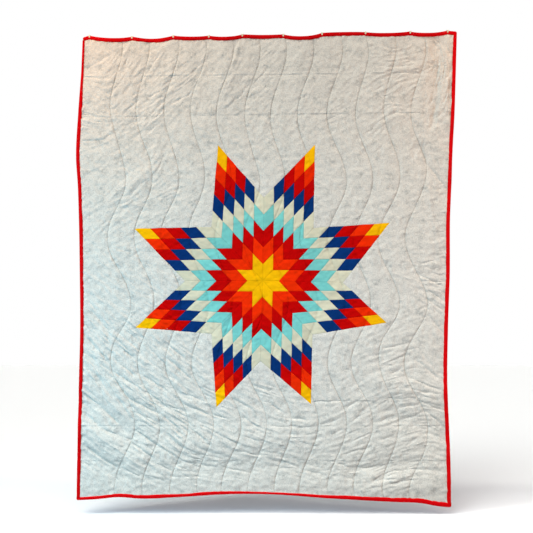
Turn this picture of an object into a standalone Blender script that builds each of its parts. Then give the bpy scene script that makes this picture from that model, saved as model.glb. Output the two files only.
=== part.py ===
"""Star quilt blanket that hangs face on by ten clips along its top edge.

X runs across the quilt, to the right as seen from the front. Z is up, and the front faces -Y.
The origin is the middle of the top edge. Sizes in the tables are millimetres: across is X,
down is the distance below the origin, and relief is how far the cloth stands towards the viewer.
"""

import bmesh
import bpy
import numpy as np

MM = 0.001

# Driving sizes, in millimetres
GAP = 0.3
SEWN_THICKNESS = 4.0
CREST_THICKNESS = 11.0
BINDING_LAP = 16.0
BINDING_CLOTH = 1.2
MARGIN = 17.0
ROW_PITCH = 50.0
NEAR_COLUMN = 0.06
PUFF_RISE = 60.0
PUFF_POWER = 0.6
STRIP_PUFF = 0.8

CLIP_WIDTH = 10.0
CLIP_TIP_WIDTH = 6.0
CLIP_BELOW = 11.0
CLIP_ABOVE = 2.5
CLIP_LEG = 1.6
CLIP_SHOULDER = 0.8

# Top edge from the left corner to the right one. Each row is a held point, and the sag and the
# bow towards the viewer of the cloth between it and the next one.
TOP_EDGE = (
    # name, across, down, sag, bow
    ("left_corner", -898, 13, 0, 0),
    ("clip_01", -865, 3, 11, 8),
    ("clip_02", -658, 8, 12, -6),
    ("clip_03", -456, 3, 6, 5),
    ("clip_04", -282, 3, 10, 9),
    ("clip_05", -118, -3, 5, -5),
    ("clip_06", 82, -3, 13, 9),
    ("clip_07", 272, -10, 2, -4),
    ("clip_08", 484, -14, 7, 7),
    ("clip_09", 703, -17, 10, 8),
    ("clip_10", 885, -21, 1, 0),
    ("right_corner", 930, -17, 0, 0),
)
BOW_FADE = 420.0

# Left and right outline
SIDES = (
    # down, left, right
    (0, -898, 930),
    (190, -907, 925),
    (385, -921, 919),
    (610, -931, 908),
    (730, -923, 905),
    (875, -918, 898),
    (1170, -913, 896),
    (1415, -911, 888),
    (1755, -919, 885),
    (1955, -923, 895),
    (2150, -927, 901),
    (2310, -929, 902),
)

# Bottom outline
BOTTOM_EDGE = (
    # across, down
    (-930, 2275),
    (-823, 2269),
    (-737, 2260),
    (-610, 2267),
    (-443, 2260),
    (-178, 2245),
    (-2, 2245),
    (145, 2253),
    (262, 2263),
    (439, 2273),
    (615, 2283),
    (762, 2291),
    (821, 2302),
    (904, 2310),
)

# Wavy stitch lines, by the place of their middle at the top, half way and at the bottom,
# and how far they swing to each side of it
STITCH_LINES = (
    # top, half way, bottom, swing
    (-734, -727, -703, 39),
    (-607, -597, -568, 39),
    (-461, -457, -430, 39),
    (-325, -321, -296, 39),
    (-196, -198, -182, 39),
    (-68, -66, -45, 39),
    (59, 69, 82, 39),
    (192, 196, 202, 39),
    (334, 336, 339, 44),
    (449, 458, 468, 44),
    (593, 598, 605, 46),
    (738, 737, 735, 50),
)
LINE_HALF_WAY = 1140.0
LINE_BOTTOM = 2250.0
# Where every line turns back, first at its right and then by turns
TURNS_DOWN = (61, 375, 708, 997, 1311, 1610, 1899, 2212)

# Broad soft folds, each along a straight run
BROAD_FOLDS = (
    # across, down, to across, to down, half width, relief
    (828, 40, 822, 420, 38, -9),
    (893, 20, 880, 420, 34, 9),
    (757, 560, 880, 770, 45, -7),
    (-880, 180, -760, 90, 45, -5),
    (-700, 780, -560, 650, 50, 5),
    (-470, 190, -560, 420, 55, 5),
    (-170, 150, -300, 460, 60, 5),
    (-900, 1790, -640, 1960, 48, -8),
    (-900, 1920, -640, 2080, 48, 8),
    (-880, 2050, -700, 2170, 42, -6),
    (-420, 1990, 120, 1960, 60, 6),
    (-330, 2120, 260, 2110, 55, -6),
    (560, 1700, 870, 1760, 55, 7),
    (600, 1850, 880, 1960, 50, -7),
    (430, 2130, 700, 2090, 50, -7),
    (480, 2230, 860, 2190, 45, 6),
)

NAMES = [row[0] for row in TOP_EDGE]
HELD = np.array([row[1:] for row in TOP_EDGE], float)
SIDE = np.array(SIDES, float)
FOOT = np.array(BOTTOM_EDGE, float)
LINES = np.array(STITCH_LINES, float)
EDGE_INSET = BINDING_CLOTH + GAP


def curve(at, stations, values):
    """Smooth curve through the stations: a cubic on each span, with the mean slope at each."""
    slopes = np.gradient(values, stations)
    span = np.clip(np.searchsorted(stations, at) - 1, 0, len(stations) - 2)
    width = stations[span + 1] - stations[span]
    t = np.clip((at - stations[span]) / width, 0, 1)
    start = (1 + 2 * t) * (1 - t) ** 2 * values[span] + t * (1 - t) ** 2 * width * slopes[span]
    end = t**2 * (3 - 2 * t) * values[span + 1] + t**2 * (t - 1) * width * slopes[span + 1]
    return start + end


def top_edge(across):
    """Height of the top outline below the origin: straight between clips, plus each sag's arc."""
    span = np.clip(np.searchsorted(HELD[:, 0], across) - 1, 0, len(HELD) - 2)
    t = (across - HELD[span, 0]) / (HELD[span + 1, 0] - HELD[span, 0])
    arc = 4 * np.clip(t * (1 - t), 0, 1)
    return np.interp(across, HELD[:, 0], HELD[:, 1]) + HELD[span, 2] * arc


def bottom_edge(across):
    """Depth of the bottom outline."""
    return curve(across, FOOT[:, 0], FOOT[:, 1])


def stitch_line(index, down):
    """Place across of one stitch line: its drifting middle plus a swing that follows the turns."""
    first, half, last, swing = LINES[index]
    middle = np.interp(down, (0, LINE_HALF_WAY, LINE_BOTTOM), (first, half, last))
    before = TURNS_DOWN[0] - (TURNS_DOWN[1] - TURNS_DOWN[0])
    after = TURNS_DOWN[-1] + (TURNS_DOWN[-1] - TURNS_DOWN[-2])
    turns = (before, *TURNS_DOWN, after)
    phase = np.interp(down, turns, np.pi * (np.arange(len(turns)) - 1))
    return middle + swing * np.cos(phase)


def anchors(down):
    """Places across that the mesh columns keep to at one height: edges, margins, stitch lines."""
    left = curve(down, SIDE[:, 0], SIDE[:, 1]) + EDGE_INSET
    right = curve(down, SIDE[:, 0], SIDE[:, 2]) - EDGE_INSET
    lines = [stitch_line(i, down) for i in range(len(LINES))]
    return np.array([left, left + MARGIN, *lines, right - MARGIN, right])


def column_places():
    """Column positions counted in anchors, so that a whole number is an anchor."""
    last_line = len(LINES) + 1
    quarters = np.arange(2, last_line, 0.25)
    left = (0, 1, 4 / 3, 5 / 3)
    right = (last_line, last_line + 1 / 3, last_line + 2 / 3, last_line + 1, last_line + 2)
    return with_clip_columns(np.concatenate([left, quarters, right]))


def with_clip_columns(places):
    """Column positions with one under each clip, which is a near one moved or a new one."""
    at_top = anchors(0.0)
    for across in HELD[1:-1, 0]:
        place = np.interp(across, at_top, np.arange(len(at_top)))
        nearest = np.abs(places - place).argmin()
        if abs(places[nearest] - place) > NEAR_COLUMN:
            places = np.sort(np.append(places, place))
        elif places[nearest] % 1 > 0:
            places[nearest] = place
    return places


def row_places():
    """Row positions from 0 at the top edge of the body to 1 at its bottom edge."""
    length = BOTTOM_EDGE[0][1]
    margin = MARGIN / length
    return np.concatenate([[0], np.linspace(margin, 1 - margin, round(length / ROW_PITCH)), [1]])


def bow(across, down):
    """Cloth between two clips bows out in one arc, which fades downwards."""
    span = np.clip(np.searchsorted(HELD[:, 0], across) - 1, 0, len(HELD) - 2)
    t = np.clip((across - HELD[span, 0]) / (HELD[span + 1, 0] - HELD[span, 0]), 0, 1)
    return HELD[span, 3] * np.sin(np.pi * t) ** 2 * np.exp(-np.maximum(down, 0) / BOW_FADE)


def fold(across, down, row):
    """One soft fold: a bell across its run, which ends in the same bell past both ends."""
    x0, d0, x1, d1, half_width, relief = row
    run = np.array([x1 - x0, d1 - d0], float)
    along = ((across - x0) * run[0] + (down - d0) * run[1]) / run.dot(run)
    along = np.clip(along, 0, 1)
    off = np.hypot(across - x0 - along * run[0], down - d0 - along * run[1])
    return relief * np.exp(-((off / half_width) ** 2))


def relief_at(across, down):
    """How far the middle of the quilt stands towards the viewer."""
    total = bow(across, down)
    for row in BROAD_FOLDS:
        total = total + fold(across, down, row)
    return total


def body_grid():
    """Places across and down, relief and thickness of every column and row of the body."""
    places = column_places()
    rows = row_places()
    indices = np.arange(len(LINES) + 4)
    top_x = np.interp(places, indices, anchors(0.0))
    foot_x = np.interp(places, indices, anchors(LINE_BOTTOM))
    top_down = top_edge(top_x) + EDGE_INSET
    foot_down = bottom_edge(foot_x) - EDGE_INSET
    down = top_down[:, None] * (1 - rows) + foot_down[:, None] * rows
    across = np.empty_like(down)
    for c, place in enumerate(places):
        for r in range(len(rows)):
            across[c, r] = np.interp(place, indices, anchors(down[c, r]))
    inner_columns = np.clip(np.arange(len(places)), 1, len(places) - 2)
    inner_rows = np.clip(np.arange(len(rows)), 1, len(rows) - 2)
    inner = np.ix_(inner_columns, inner_rows)
    relief = relief_at(across[inner], down[inner])
    return across, down, relief, thickness_grid(places, rows, down)


def thickness_grid(places, rows, down):
    """Full thickness: thin on the stitch lines and margins, with a crown on each channel."""
    within = places - np.floor(places)
    crown = (4 * within * (1 - within)) ** PUFF_POWER
    last_line = len(LINES) + 1
    crown[(places < 2) | (places > last_line)] *= STRIP_PUFF
    crown[(places < 1) | (places > last_line + 1)] = 0
    from_edge = np.minimum(down - down[:, 1:2], down[:, -2:-1] - down)
    rise = np.clip(from_edge / PUFF_RISE, 0, 1)
    return SEWN_THICKNESS + (CREST_THICKNESS - SEWN_THICKNESS) * crown[:, None] * rise


def cloth_material(name, colour, roughness):
    """Plain Principled material."""
    material = bpy.data.materials.new(name)
    material.use_nodes = True
    shader = material.node_tree.nodes["Principled BSDF"]
    shader.inputs["Base Color"].default_value = (*colour, 1)
    shader.inputs["Roughness"].default_value = roughness
    shader.inputs["Metallic"].default_value = 0
    return material


def add_object(name, mesh_builder, material):
    """Puts a finished bmesh into a named object with its material."""
    mesh = bpy.data.meshes.new(name)
    mesh_builder.to_mesh(mesh)
    mesh_builder.free()
    mesh.materials.append(material)
    item = bpy.data.objects.new(name, mesh)
    bpy.context.collection.objects.link(item)
    return item


def quilt_body(across, down, relief, thickness, material):
    """Padded sheet: a flat grid is extruded to a front, a back and a rim, then shaped."""
    columns, rows = across.shape
    builder = bmesh.new()
    bmesh.ops.create_grid(
        builder, x_segments=columns - 1, y_segments=rows - 1, size=1
    )
    front = list(builder.verts)
    for vert in front:
        vert.co = ((vert.co.x + 1) / 2 * (columns - 1), (vert.co.y + 1) / 2 * (rows - 1), 1)
    back = bmesh.ops.extrude_face_region(builder, geom=builder.faces[:], use_keep_orig=True)
    for item in back["geom"]:
        if isinstance(item, bmesh.types.BMVert):
            item.co.z = -1
    for vert in builder.verts:
        c = round(vert.co.x)
        r = rows - 1 - round(vert.co.y)
        stands = relief[c, r] + vert.co.z * thickness[c, r] / 2
        vert.co = (across[c, r] * MM, -stands * MM, -down[c, r] * MM)
    bmesh.ops.recalc_face_normals(builder, faces=builder.faces[:])
    body = add_object("quilt_body", builder, material)
    body.data.shade_smooth()
    return body


def wrapped_strip(name, outer, inner, material):
    """Closed strip between an outer and an inner profile, each [station, point, xyz] in mm."""
    builder = bmesh.new()
    shell = np.concatenate([outer, inner[:, ::-1]], axis=1)
    stations, count = shell.shape[:2]
    rings = []
    for ring in shell:
        rings.append([builder.verts.new(tuple(point * MM)) for point in ring])
    for s in range(stations - 1):
        for k in range(count):
            after = (k + 1) % count
            corners = (rings[s][k], rings[s][after], rings[s + 1][after], rings[s + 1][k])
            builder.faces.new(corners)
    for ring in (rings[0], rings[-1]):
        for k in range(count // 2 - 1):
            builder.faces.new((ring[k], ring[k + 1], ring[count - 2 - k], ring[count - 1 - k]))
    bmesh.ops.recalc_face_normals(builder, faces=builder.faces[:])
    return add_object(name, builder, material)


def binding_profile(stands, edge, within):
    """Outer and inner profile of a binding, folded over the body's edge.

    stands is the relief of the edge line, and edge and within are [station, across and down] of
    it and of the body's next grid line, which the laps lie along. Each profile runs from the
    front lap over the edge to the back lap, and the outer one is a cloth's thickness further out.
    """
    half = SEWN_THICKNESS / 2
    lap = BINDING_LAP - EDGE_INSET
    wall = half + GAP + BINDING_CLOTH
    nose = 0.6 * half
    outer_shape = (
        (wall, lap),
        (wall, -GAP),
        (nose, -EDGE_INSET),
        (-nose, -EDGE_INSET),
        (-wall, -GAP),
        (-wall, lap),
    )
    inner_shape = (
        (half + GAP, lap),
        (half + GAP, -GAP),
        (nose, -GAP),
        (-nose, -GAP),
        (-half - GAP, -GAP),
        (-half - GAP, lap),
    )
    inwards = within - edge
    inwards = inwards / np.hypot(inwards[:, 0], inwards[:, 1])[:, None]
    profiles = []
    for shape in (outer_shape, inner_shape):
        points = np.empty((len(edge), len(shape), 3))
        for k, (out, depth) in enumerate(shape):
            place = edge + depth * inwards
            points[:, k, 0] = place[:, 0]
            points[:, k, 1] = -(stands + out)
            points[:, k, 2] = -place[:, 1]
        profiles.append(points)
    return profiles


def lengthened(line, reach):
    """Line with its two end stations moved outwards along it by reach."""
    line = line.copy()
    for end, inner in ((0, 1), (-1, -2)):
        step = line[end] - line[inner]
        line[end] = line[end] + step / np.hypot(*step) * reach
    return line


def shortened(line, reach):
    """Line with its two end stations moved inwards, to reach from where they were."""
    return lengthened(line, -reach)


def top_and_bottom_bindings(across, down, relief, material):
    """Strips over the top and bottom edges, full width to the outside of the side strips."""
    body = np.stack([across, down], axis=2)
    strips = {}
    for name, row, inner_row in (("binding_top", 0, 1), ("binding_bottom", -1, -2)):
        edge = lengthened(body[:, row], EDGE_INSET)
        within = lengthened(body[:, inner_row], EDGE_INSET)
        outer, inner = binding_profile(relief[:, row], edge, within)
        wrapped_strip(name, outer, inner, material)
        strips[name] = outer
    return strips


def side_bindings(across, down, relief, material):
    """Strips over the side edges, from just below the top strip to just above the bottom one."""
    body = np.stack([across, down], axis=2)
    reach = BINDING_LAP - EDGE_INSET + 1.5 * GAP
    for name, column, inner_column in (("binding_left", 0, 1), ("binding_right", -1, -2)):
        edge = shortened(body[column], reach)
        within = shortened(body[inner_column], reach)
        outer, inner = binding_profile(relief[column], edge, within)
        wrapped_strip(name, outer, inner, material)


def clip(name, across, binding, material):
    """Small plain clip astride the top binding, with its tips tapered and a flat head."""
    front, crest, back = binding[:, 0], binding[:, 2], binding[:, -1]
    spots = across + np.array((-0.5, 0, 0.5)) * CLIP_WIDTH
    front_y = np.interp(spots, front[:, 0], front[:, 1]).min() - GAP
    back_y = np.interp(spots, back[:, 0], back[:, 1]).max() + GAP
    edge_z = np.interp(spots, crest[:, 0], crest[:, 2]).max() + GAP
    tip_z = edge_z - GAP - CLIP_BELOW
    head_z = edge_z + CLIP_ABOVE
    shoulder_z = edge_z + CLIP_ABOVE - CLIP_SHOULDER
    outer_shape = (
        (front_y - CLIP_LEG, tip_z, CLIP_TIP_WIDTH),
        (front_y - CLIP_LEG, shoulder_z, CLIP_WIDTH),
        (front_y - CLIP_LEG + CLIP_SHOULDER, head_z, CLIP_WIDTH),
        (back_y + CLIP_LEG - CLIP_SHOULDER, head_z, CLIP_WIDTH),
        (back_y + CLIP_LEG, shoulder_z, CLIP_WIDTH),
        (back_y + CLIP_LEG, tip_z, CLIP_TIP_WIDTH),
    )
    inner_shape = (
        (front_y, tip_z, CLIP_TIP_WIDTH),
        (front_y, edge_z, CLIP_WIDTH),
        (front_y + CLIP_SHOULDER, edge_z, CLIP_WIDTH),
        (back_y - CLIP_SHOULDER, edge_z, CLIP_WIDTH),
        (back_y, edge_z, CLIP_WIDTH),
        (back_y, tip_z, CLIP_TIP_WIDTH),
    )
    profiles = []
    for shape in (outer_shape, inner_shape):
        sides = [[(across + side * w / 2, y, z) for y, z, w in shape] for side in (-1, 1)]
        profiles.append(np.array(sides))
    wrapped_strip(name, *profiles, material)
    print(f"{name}: head at x {across:.0f}, y {(front_y + back_y) / 2:.2f}, z {head_z:.2f} mm")


def build():
    """Removes what the scene holds and makes the quilt, its bindings and its clips."""
    for item in list(bpy.data.objects):
        bpy.data.objects.remove(item)
    white = cloth_material("white_quilted_cotton", (0.68, 0.66, 0.61), 0.9)
    red = cloth_material("red_binding_cotton", (0.55, 0.005, 0.006), 0.85)
    cream = cloth_material("cream_clip", (0.78, 0.70, 0.52), 0.45)
    across, down, relief, thickness = body_grid()
    quilt_body(across, down, relief, thickness, white)
    strips = top_and_bottom_bindings(across, down, relief, red)
    side_bindings(across, down, relief, red)
    for name, place in zip(NAMES[1:-1], HELD[1:-1, 0]):
        clip(name, place, strips["binding_top"], cream)


build()
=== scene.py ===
# %% [markdown]
# # A star quilt blanket, hanging by ten clips
#
# The quilt is a padded sheet: a pieced cotton top, a thin batting and a cotton backing, sewn
# together along twelve wavy lines and bound in red. It hangs face on, so every fold is small, and
# the whole likeness lies in three things: the star's patches, the quilted channels, and the many
# fine wrinkles of cloth that has been folded away and hung up again.
#
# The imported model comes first, as the fixed frame that all the pieces keep to.

import bpy
import numpy as np
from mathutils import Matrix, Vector


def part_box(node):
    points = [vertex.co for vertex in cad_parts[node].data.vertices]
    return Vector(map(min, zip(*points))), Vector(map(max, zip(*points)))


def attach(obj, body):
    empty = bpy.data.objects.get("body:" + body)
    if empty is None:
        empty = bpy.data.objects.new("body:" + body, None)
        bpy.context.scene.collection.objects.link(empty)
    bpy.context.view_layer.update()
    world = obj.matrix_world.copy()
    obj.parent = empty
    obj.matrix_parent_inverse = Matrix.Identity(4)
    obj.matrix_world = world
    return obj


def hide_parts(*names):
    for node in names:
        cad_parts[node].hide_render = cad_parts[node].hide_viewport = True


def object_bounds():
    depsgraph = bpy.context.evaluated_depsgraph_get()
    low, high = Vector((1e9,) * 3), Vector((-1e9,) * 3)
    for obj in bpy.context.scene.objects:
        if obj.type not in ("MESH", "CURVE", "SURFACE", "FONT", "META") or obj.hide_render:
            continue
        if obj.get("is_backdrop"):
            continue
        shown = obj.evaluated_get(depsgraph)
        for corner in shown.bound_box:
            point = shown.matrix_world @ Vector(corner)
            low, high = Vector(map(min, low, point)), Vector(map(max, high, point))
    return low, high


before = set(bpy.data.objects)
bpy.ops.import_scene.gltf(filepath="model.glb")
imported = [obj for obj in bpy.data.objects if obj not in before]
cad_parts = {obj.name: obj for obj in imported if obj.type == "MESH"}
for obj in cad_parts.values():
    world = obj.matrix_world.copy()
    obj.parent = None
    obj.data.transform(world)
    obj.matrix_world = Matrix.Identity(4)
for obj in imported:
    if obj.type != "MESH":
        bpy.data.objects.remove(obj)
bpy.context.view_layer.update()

MM = 0.001

# %% [markdown]
# ## The outline
#
# A hung quilt isn't a rectangle. Its top edge is held at ten clips and sags in a shallow arc
# between each two, its sides wander, and its hem lifts in the middle. The solids were made from a
# few short tables of places. They serve here too, so that the cloth lands on the solids, but three
# sags of the top edge differ by 1 to 5 mm, to follow the photo more closely. Sizes in the tables
# are millimetres: across is to the right, down is below the top edge's middle, and relief is how
# far the cloth stands towards the viewer.

# %% Outline tables
GAP = 0.3
SEWN_THICKNESS = 4.0
CREST_THICKNESS = 11.0
BINDING_LAP = 16.0
BINDING_CLOTH = 1.2
MARGIN = 17.0
PUFF_RISE = 60.0
PUFF_POWER = 0.6
STRIP_PUFF = 0.8
BOW_FADE = 420.0
EDGE_INSET = BINDING_CLOTH + GAP

TOP_EDGE = np.array([
    # across, down, sag, bow
    (-898, 13, 0, 0),
    (-865, 3, 11, 8),
    (-658, 8, 12, -6),
    (-456, 3, 6, 5),
    (-282, 3, 10, 9),
    (-118, -3, 2, -5),
    (82, -3, 14, 9),
    (272, -10, -3, -4),
    (484, -14, 7, 7),
    (703, -17, 10, 8),
    (885, -21, 1, 0),
    (930, -17, 0, 0),
], float)

SIDES = np.array([
    # down, left, right
    (0, -898, 930),
    (190, -907, 925),
    (385, -921, 919),
    (610, -931, 908),
    (730, -923, 905),
    (875, -918, 898),
    (1170, -913, 896),
    (1415, -911, 888),
    (1755, -919, 885),
    (1955, -923, 895),
    (2150, -927, 901),
    (2310, -929, 902),
], float)

BOTTOM_EDGE = np.array([
    # across, down
    (-930, 2275),
    (-823, 2269),
    (-737, 2260),
    (-610, 2267),
    (-443, 2260),
    (-178, 2245),
    (-2, 2245),
    (145, 2253),
    (262, 2263),
    (439, 2273),
    (615, 2283),
    (762, 2291),
    (821, 2302),
    (904, 2310),
], float)


# %% Outline curves
def curve(at, stations, values):
    """Smooth curve through the stations: a cubic on each span, with the mean slope at each."""
    slopes = np.gradient(values, stations)
    span = np.clip(np.searchsorted(stations, at) - 1, 0, len(stations) - 2)
    width = stations[span + 1] - stations[span]
    t = np.clip((at - stations[span]) / width, 0, 1)
    start = (1 + 2 * t) * (1 - t) ** 2 * values[span] + t * (1 - t) ** 2 * width * slopes[span]
    end = t**2 * (3 - 2 * t) * values[span + 1] + t**2 * (t - 1) * width * slopes[span + 1]
    return start + end


def clip_span(across):
    """Which span between held points a place is in, and how far along it, from 0 to 1."""
    held = TOP_EDGE[:, 0]
    span = np.clip(np.searchsorted(held, across) - 1, 0, len(held) - 2)
    return span, np.clip((across - held[span]) / (held[span + 1] - held[span]), 0, 1)


def top_edge(across):
    """Depth of the top outline: straight between clips, plus each sag's parabola 4t(1 - t)."""
    span, t = clip_span(across)
    straight = np.interp(across, TOP_EDGE[:, 0], TOP_EDGE[:, 1])
    return straight + TOP_EDGE[span, 2] * 4 * t * (1 - t)


def bottom_edge(across):
    """Depth of the bottom outline."""
    return curve(across, BOTTOM_EDGE[:, 0], BOTTOM_EDGE[:, 1])


print("drop at the middle", round(float(bottom_edge(0.0) - top_edge(0.0))), "mm")

# %% [markdown]
# ## The quilting lines
#
# Twelve lines of machine stitching run from top to bottom and swing left and right together, as a
# long-arm machine draws them. Each is a drifting middle plus a cosine that turns back at the same
# eight depths. They are the deepest creases of the quilt, so the mesh columns follow them: a
# column that lies in the valley keeps it crisp with few faces.

# %% Stitch lines
STITCH_LINES = np.array([
    # top, half way, bottom, swing
    (-734, -727, -703, 39),
    (-607, -597, -568, 39),
    (-461, -457, -430, 39),
    (-325, -321, -296, 39),
    (-196, -198, -182, 39),
    (-68, -66, -45, 39),
    (59, 69, 82, 39),
    (192, 196, 202, 39),
    (334, 336, 339, 44),
    (449, 458, 468, 44),
    (593, 598, 605, 46),
    (738, 737, 735, 50),
], float)
LINE_DEPTHS = (0.0, 1140.0, 2250.0)
TURNS_DOWN = (-253, 61, 375, 708, 997, 1311, 1610, 1899, 2212, 2525)
DRIFT_DEPTHS = np.arange(22, 2228, 147)
LINE_DRIFT = np.array([
    # how far each line strays to the right of its formula at those depths
    (-8, -10, 2, 13, 4, 2, -11, -7, 14, 22, -6, -2, 23, 28, 11, -2),
    (-3, -7, 4, 6, 7, 1, -10, -6, 7, 3, -5, -5, 8, 18, 10, -2),
    (-5, -7, -3, -2, -6, -9, -22, -16, 1, -4, -8, -9, 7, 17, 10, -2),
    (-6, -10, -11, -8, -12, -22, -28, -13, -11, -4, -12, -17, 1, 7, -2, -5),
    (-2, -4, -6, -13, -13, -13, -18, -13, -10, -10, -9, -7, 13, 25, 11, -1),
    (-2, 2, 3, -4, -13, -1, -5, -5, 1, 10, -1, -1, 10, 14, 7, -10),
    (-2, 4, 3, -11, -15, -9, -7, -5, -5, -5, -9, -9, 4, 7, 3, -6),
    (-2, 4, 1, -8, -7, 0, 6, 9, 10, 15, 15, 15, 17, 14, 8, -4),
    (-6, 0, 7, 2, 8, 13, 9, 4, 4, 2, 2, 7, 11, 10, 9, 2),
    (0, 15, 29, 23, 22, 22, 19, 9, 7, 5, -2, -3, 11, 11, 3, 2),
    (-5, -1, 21, 27, 19, 6, -2, -6, 0, 5, -19, 0, 2, -1, 8, 7),
    (-11, -1, 18, 15, 10, -18, -13, -8, -5, 1, -11, -12, -9, 7, 31, 9),
], float)
LINES = len(STITCH_LINES)
FIRST_LINE, LAST_LINE = 2, LINES + 1
ANCHORS = LINES + 4


def stitch_line(index, down):
    """Place across of a line: its middle, its swing times the cosine of the turns, its drift."""
    phase = np.interp(down, TURNS_DOWN, np.pi * (np.arange(len(TURNS_DOWN)) - 1))
    middle = np.interp(down, LINE_DEPTHS, STITCH_LINES[index, :3])
    drift = curve(down, DRIFT_DEPTHS, LINE_DRIFT[index])
    return middle + STITCH_LINES[index, 3] * np.cos(phase) + drift


def anchors(down):
    """The places that the columns keep to: edges, binding margins and stitch lines."""
    left = curve(down, SIDES[:, 0], SIDES[:, 1]) + EDGE_INSET
    right = curve(down, SIDES[:, 0], SIDES[:, 2]) - EDGE_INSET
    lines = [stitch_line(i, down) for i in range(LINES)]
    return np.stack([left, left + MARGIN, *lines, right - MARGIN, right])


def anchor_place(across, down):
    """Position counted in anchors: 2.5 is half way from the first stitch line to the second."""
    at = anchors(down)
    index = np.clip((across >= at).sum(axis=0) - 1, 0, ANCHORS - 2)
    low = np.take_along_axis(at, index[None], axis=0)[0]
    high = np.take_along_axis(at, index[None] + 1, axis=0)[0]
    return index + np.clip((across - low) / (high - low), 0, 1)


print(LINES, "stitch lines,", ANCHORS, "anchors")

# %% [markdown]
# ## Broad folds and padding
#
# Large forms repeat the solids' own: a bow between each two clips that fades downwards, sixteen
# broad folds, and the crown of every channel. The crown is (4w(1 - w)) to the power 0.6, where w
# runs across the channel: steep beside the stitches and flat on top, as batting stands up.

# %% Large forms
BROAD_FOLDS = (
    # across, down, to across, to down, half width, relief
    (828, 40, 822, 420, 38, -9),
    (893, 20, 880, 420, 34, 9),
    (757, 560, 880, 770, 45, -7),
    (-880, 180, -760, 90, 45, -5),
    (-700, 780, -560, 650, 50, 5),
    (-470, 190, -560, 420, 55, 5),
    (-170, 150, -300, 460, 60, 5),
    (-900, 1790, -640, 1960, 48, -8),
    (-900, 1920, -640, 2080, 48, 8),
    (-880, 2050, -700, 2170, 42, -6),
    (-420, 1990, 120, 1960, 60, 6),
    (-330, 2120, 260, 2110, 55, -6),
    (560, 1700, 870, 1760, 55, 7),
    (600, 1850, 880, 1960, 50, -7),
    (430, 2130, 700, 2090, 50, -7),
    (480, 2230, 860, 2190, 45, 6),
)


def beside(across, down, row):
    """Distance from a straight run, and the place along it, held between 0 and 1."""
    x0, d0, x1, d1 = row[:4]
    run = np.array([x1 - x0, d1 - d0], float)
    along = ((across - x0) * run[0] + (down - d0) * run[1]) / run.dot(run)
    along = np.clip(along, 0, 1)
    return np.hypot(across - x0 - along * run[0], down - d0 - along * run[1]), along


def broad_relief(across, down):
    """Bow of the cloth between its clips, plus each broad fold as a bell across its run."""
    span, t = clip_span(across)
    total = TOP_EDGE[span, 3] * np.sin(np.pi * t) ** 2
    total = total * np.exp(-np.maximum(down, 0) / BOW_FADE)
    for row in BROAD_FOLDS:
        off, _ = beside(across, down, row)
        total = total + row[5] * np.exp(-((off / row[4]) ** 2))
    return total


def padding(across, down, place):
    """Half the quilt's thickness: thin on the stitches and edges, crowned on each channel."""
    within = place - np.floor(place)
    crown = (4 * within * (1 - within)) ** PUFF_POWER
    outside = (place < FIRST_LINE) | (place > LAST_LINE)
    crown = np.where(outside, crown * STRIP_PUFF, crown)
    crown = np.where((place < 1) | (place > LAST_LINE + 1), 0, crown)
    below_top = down - top_edge(across) - EDGE_INSET - MARGIN
    above_hem = bottom_edge(across) - EDGE_INSET - MARGIN - down
    rise = np.clip(np.minimum(below_top, above_hem) / PUFF_RISE, 0, 1)
    return (SEWN_THICKNESS + (CREST_THICKNESS - SEWN_THICKNESS) * crown * rise) / 2


# %% [markdown]
# ## Random height
#
# Cloth is uneven everywhere, but smoothly so. One random height serves wherever unevenness is
# called for: a lattice of random values, blended by a cubic.

# %% Random height
LATTICE = 64


def noise(u, v, seed):
    """Smooth random height from -1 to 1 over a lattice of unit squares."""
    table = np.random.default_rng(seed).uniform(-1, 1, (LATTICE, LATTICE))
    whole_u, whole_v = np.floor(u).astype(int), np.floor(v).astype(int)
    su, sv = u - whole_u, v - whole_v
    su, sv = su * su * (3 - 2 * su), sv * sv * (3 - 2 * sv)
    i0, i1 = whole_u % LATTICE, (whole_u + 1) % LATTICE
    j0, j1 = whole_v % LATTICE, (whole_v + 1) % LATTICE
    near = table[i0, j0] * (1 - sv) + table[i0, j1] * sv
    far = table[i1, j0] * (1 - sv) + table[i1, j1] * sv
    return near * (1 - su) + far * su


print("random height over", LATTICE, "squares before it repeats")
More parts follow.
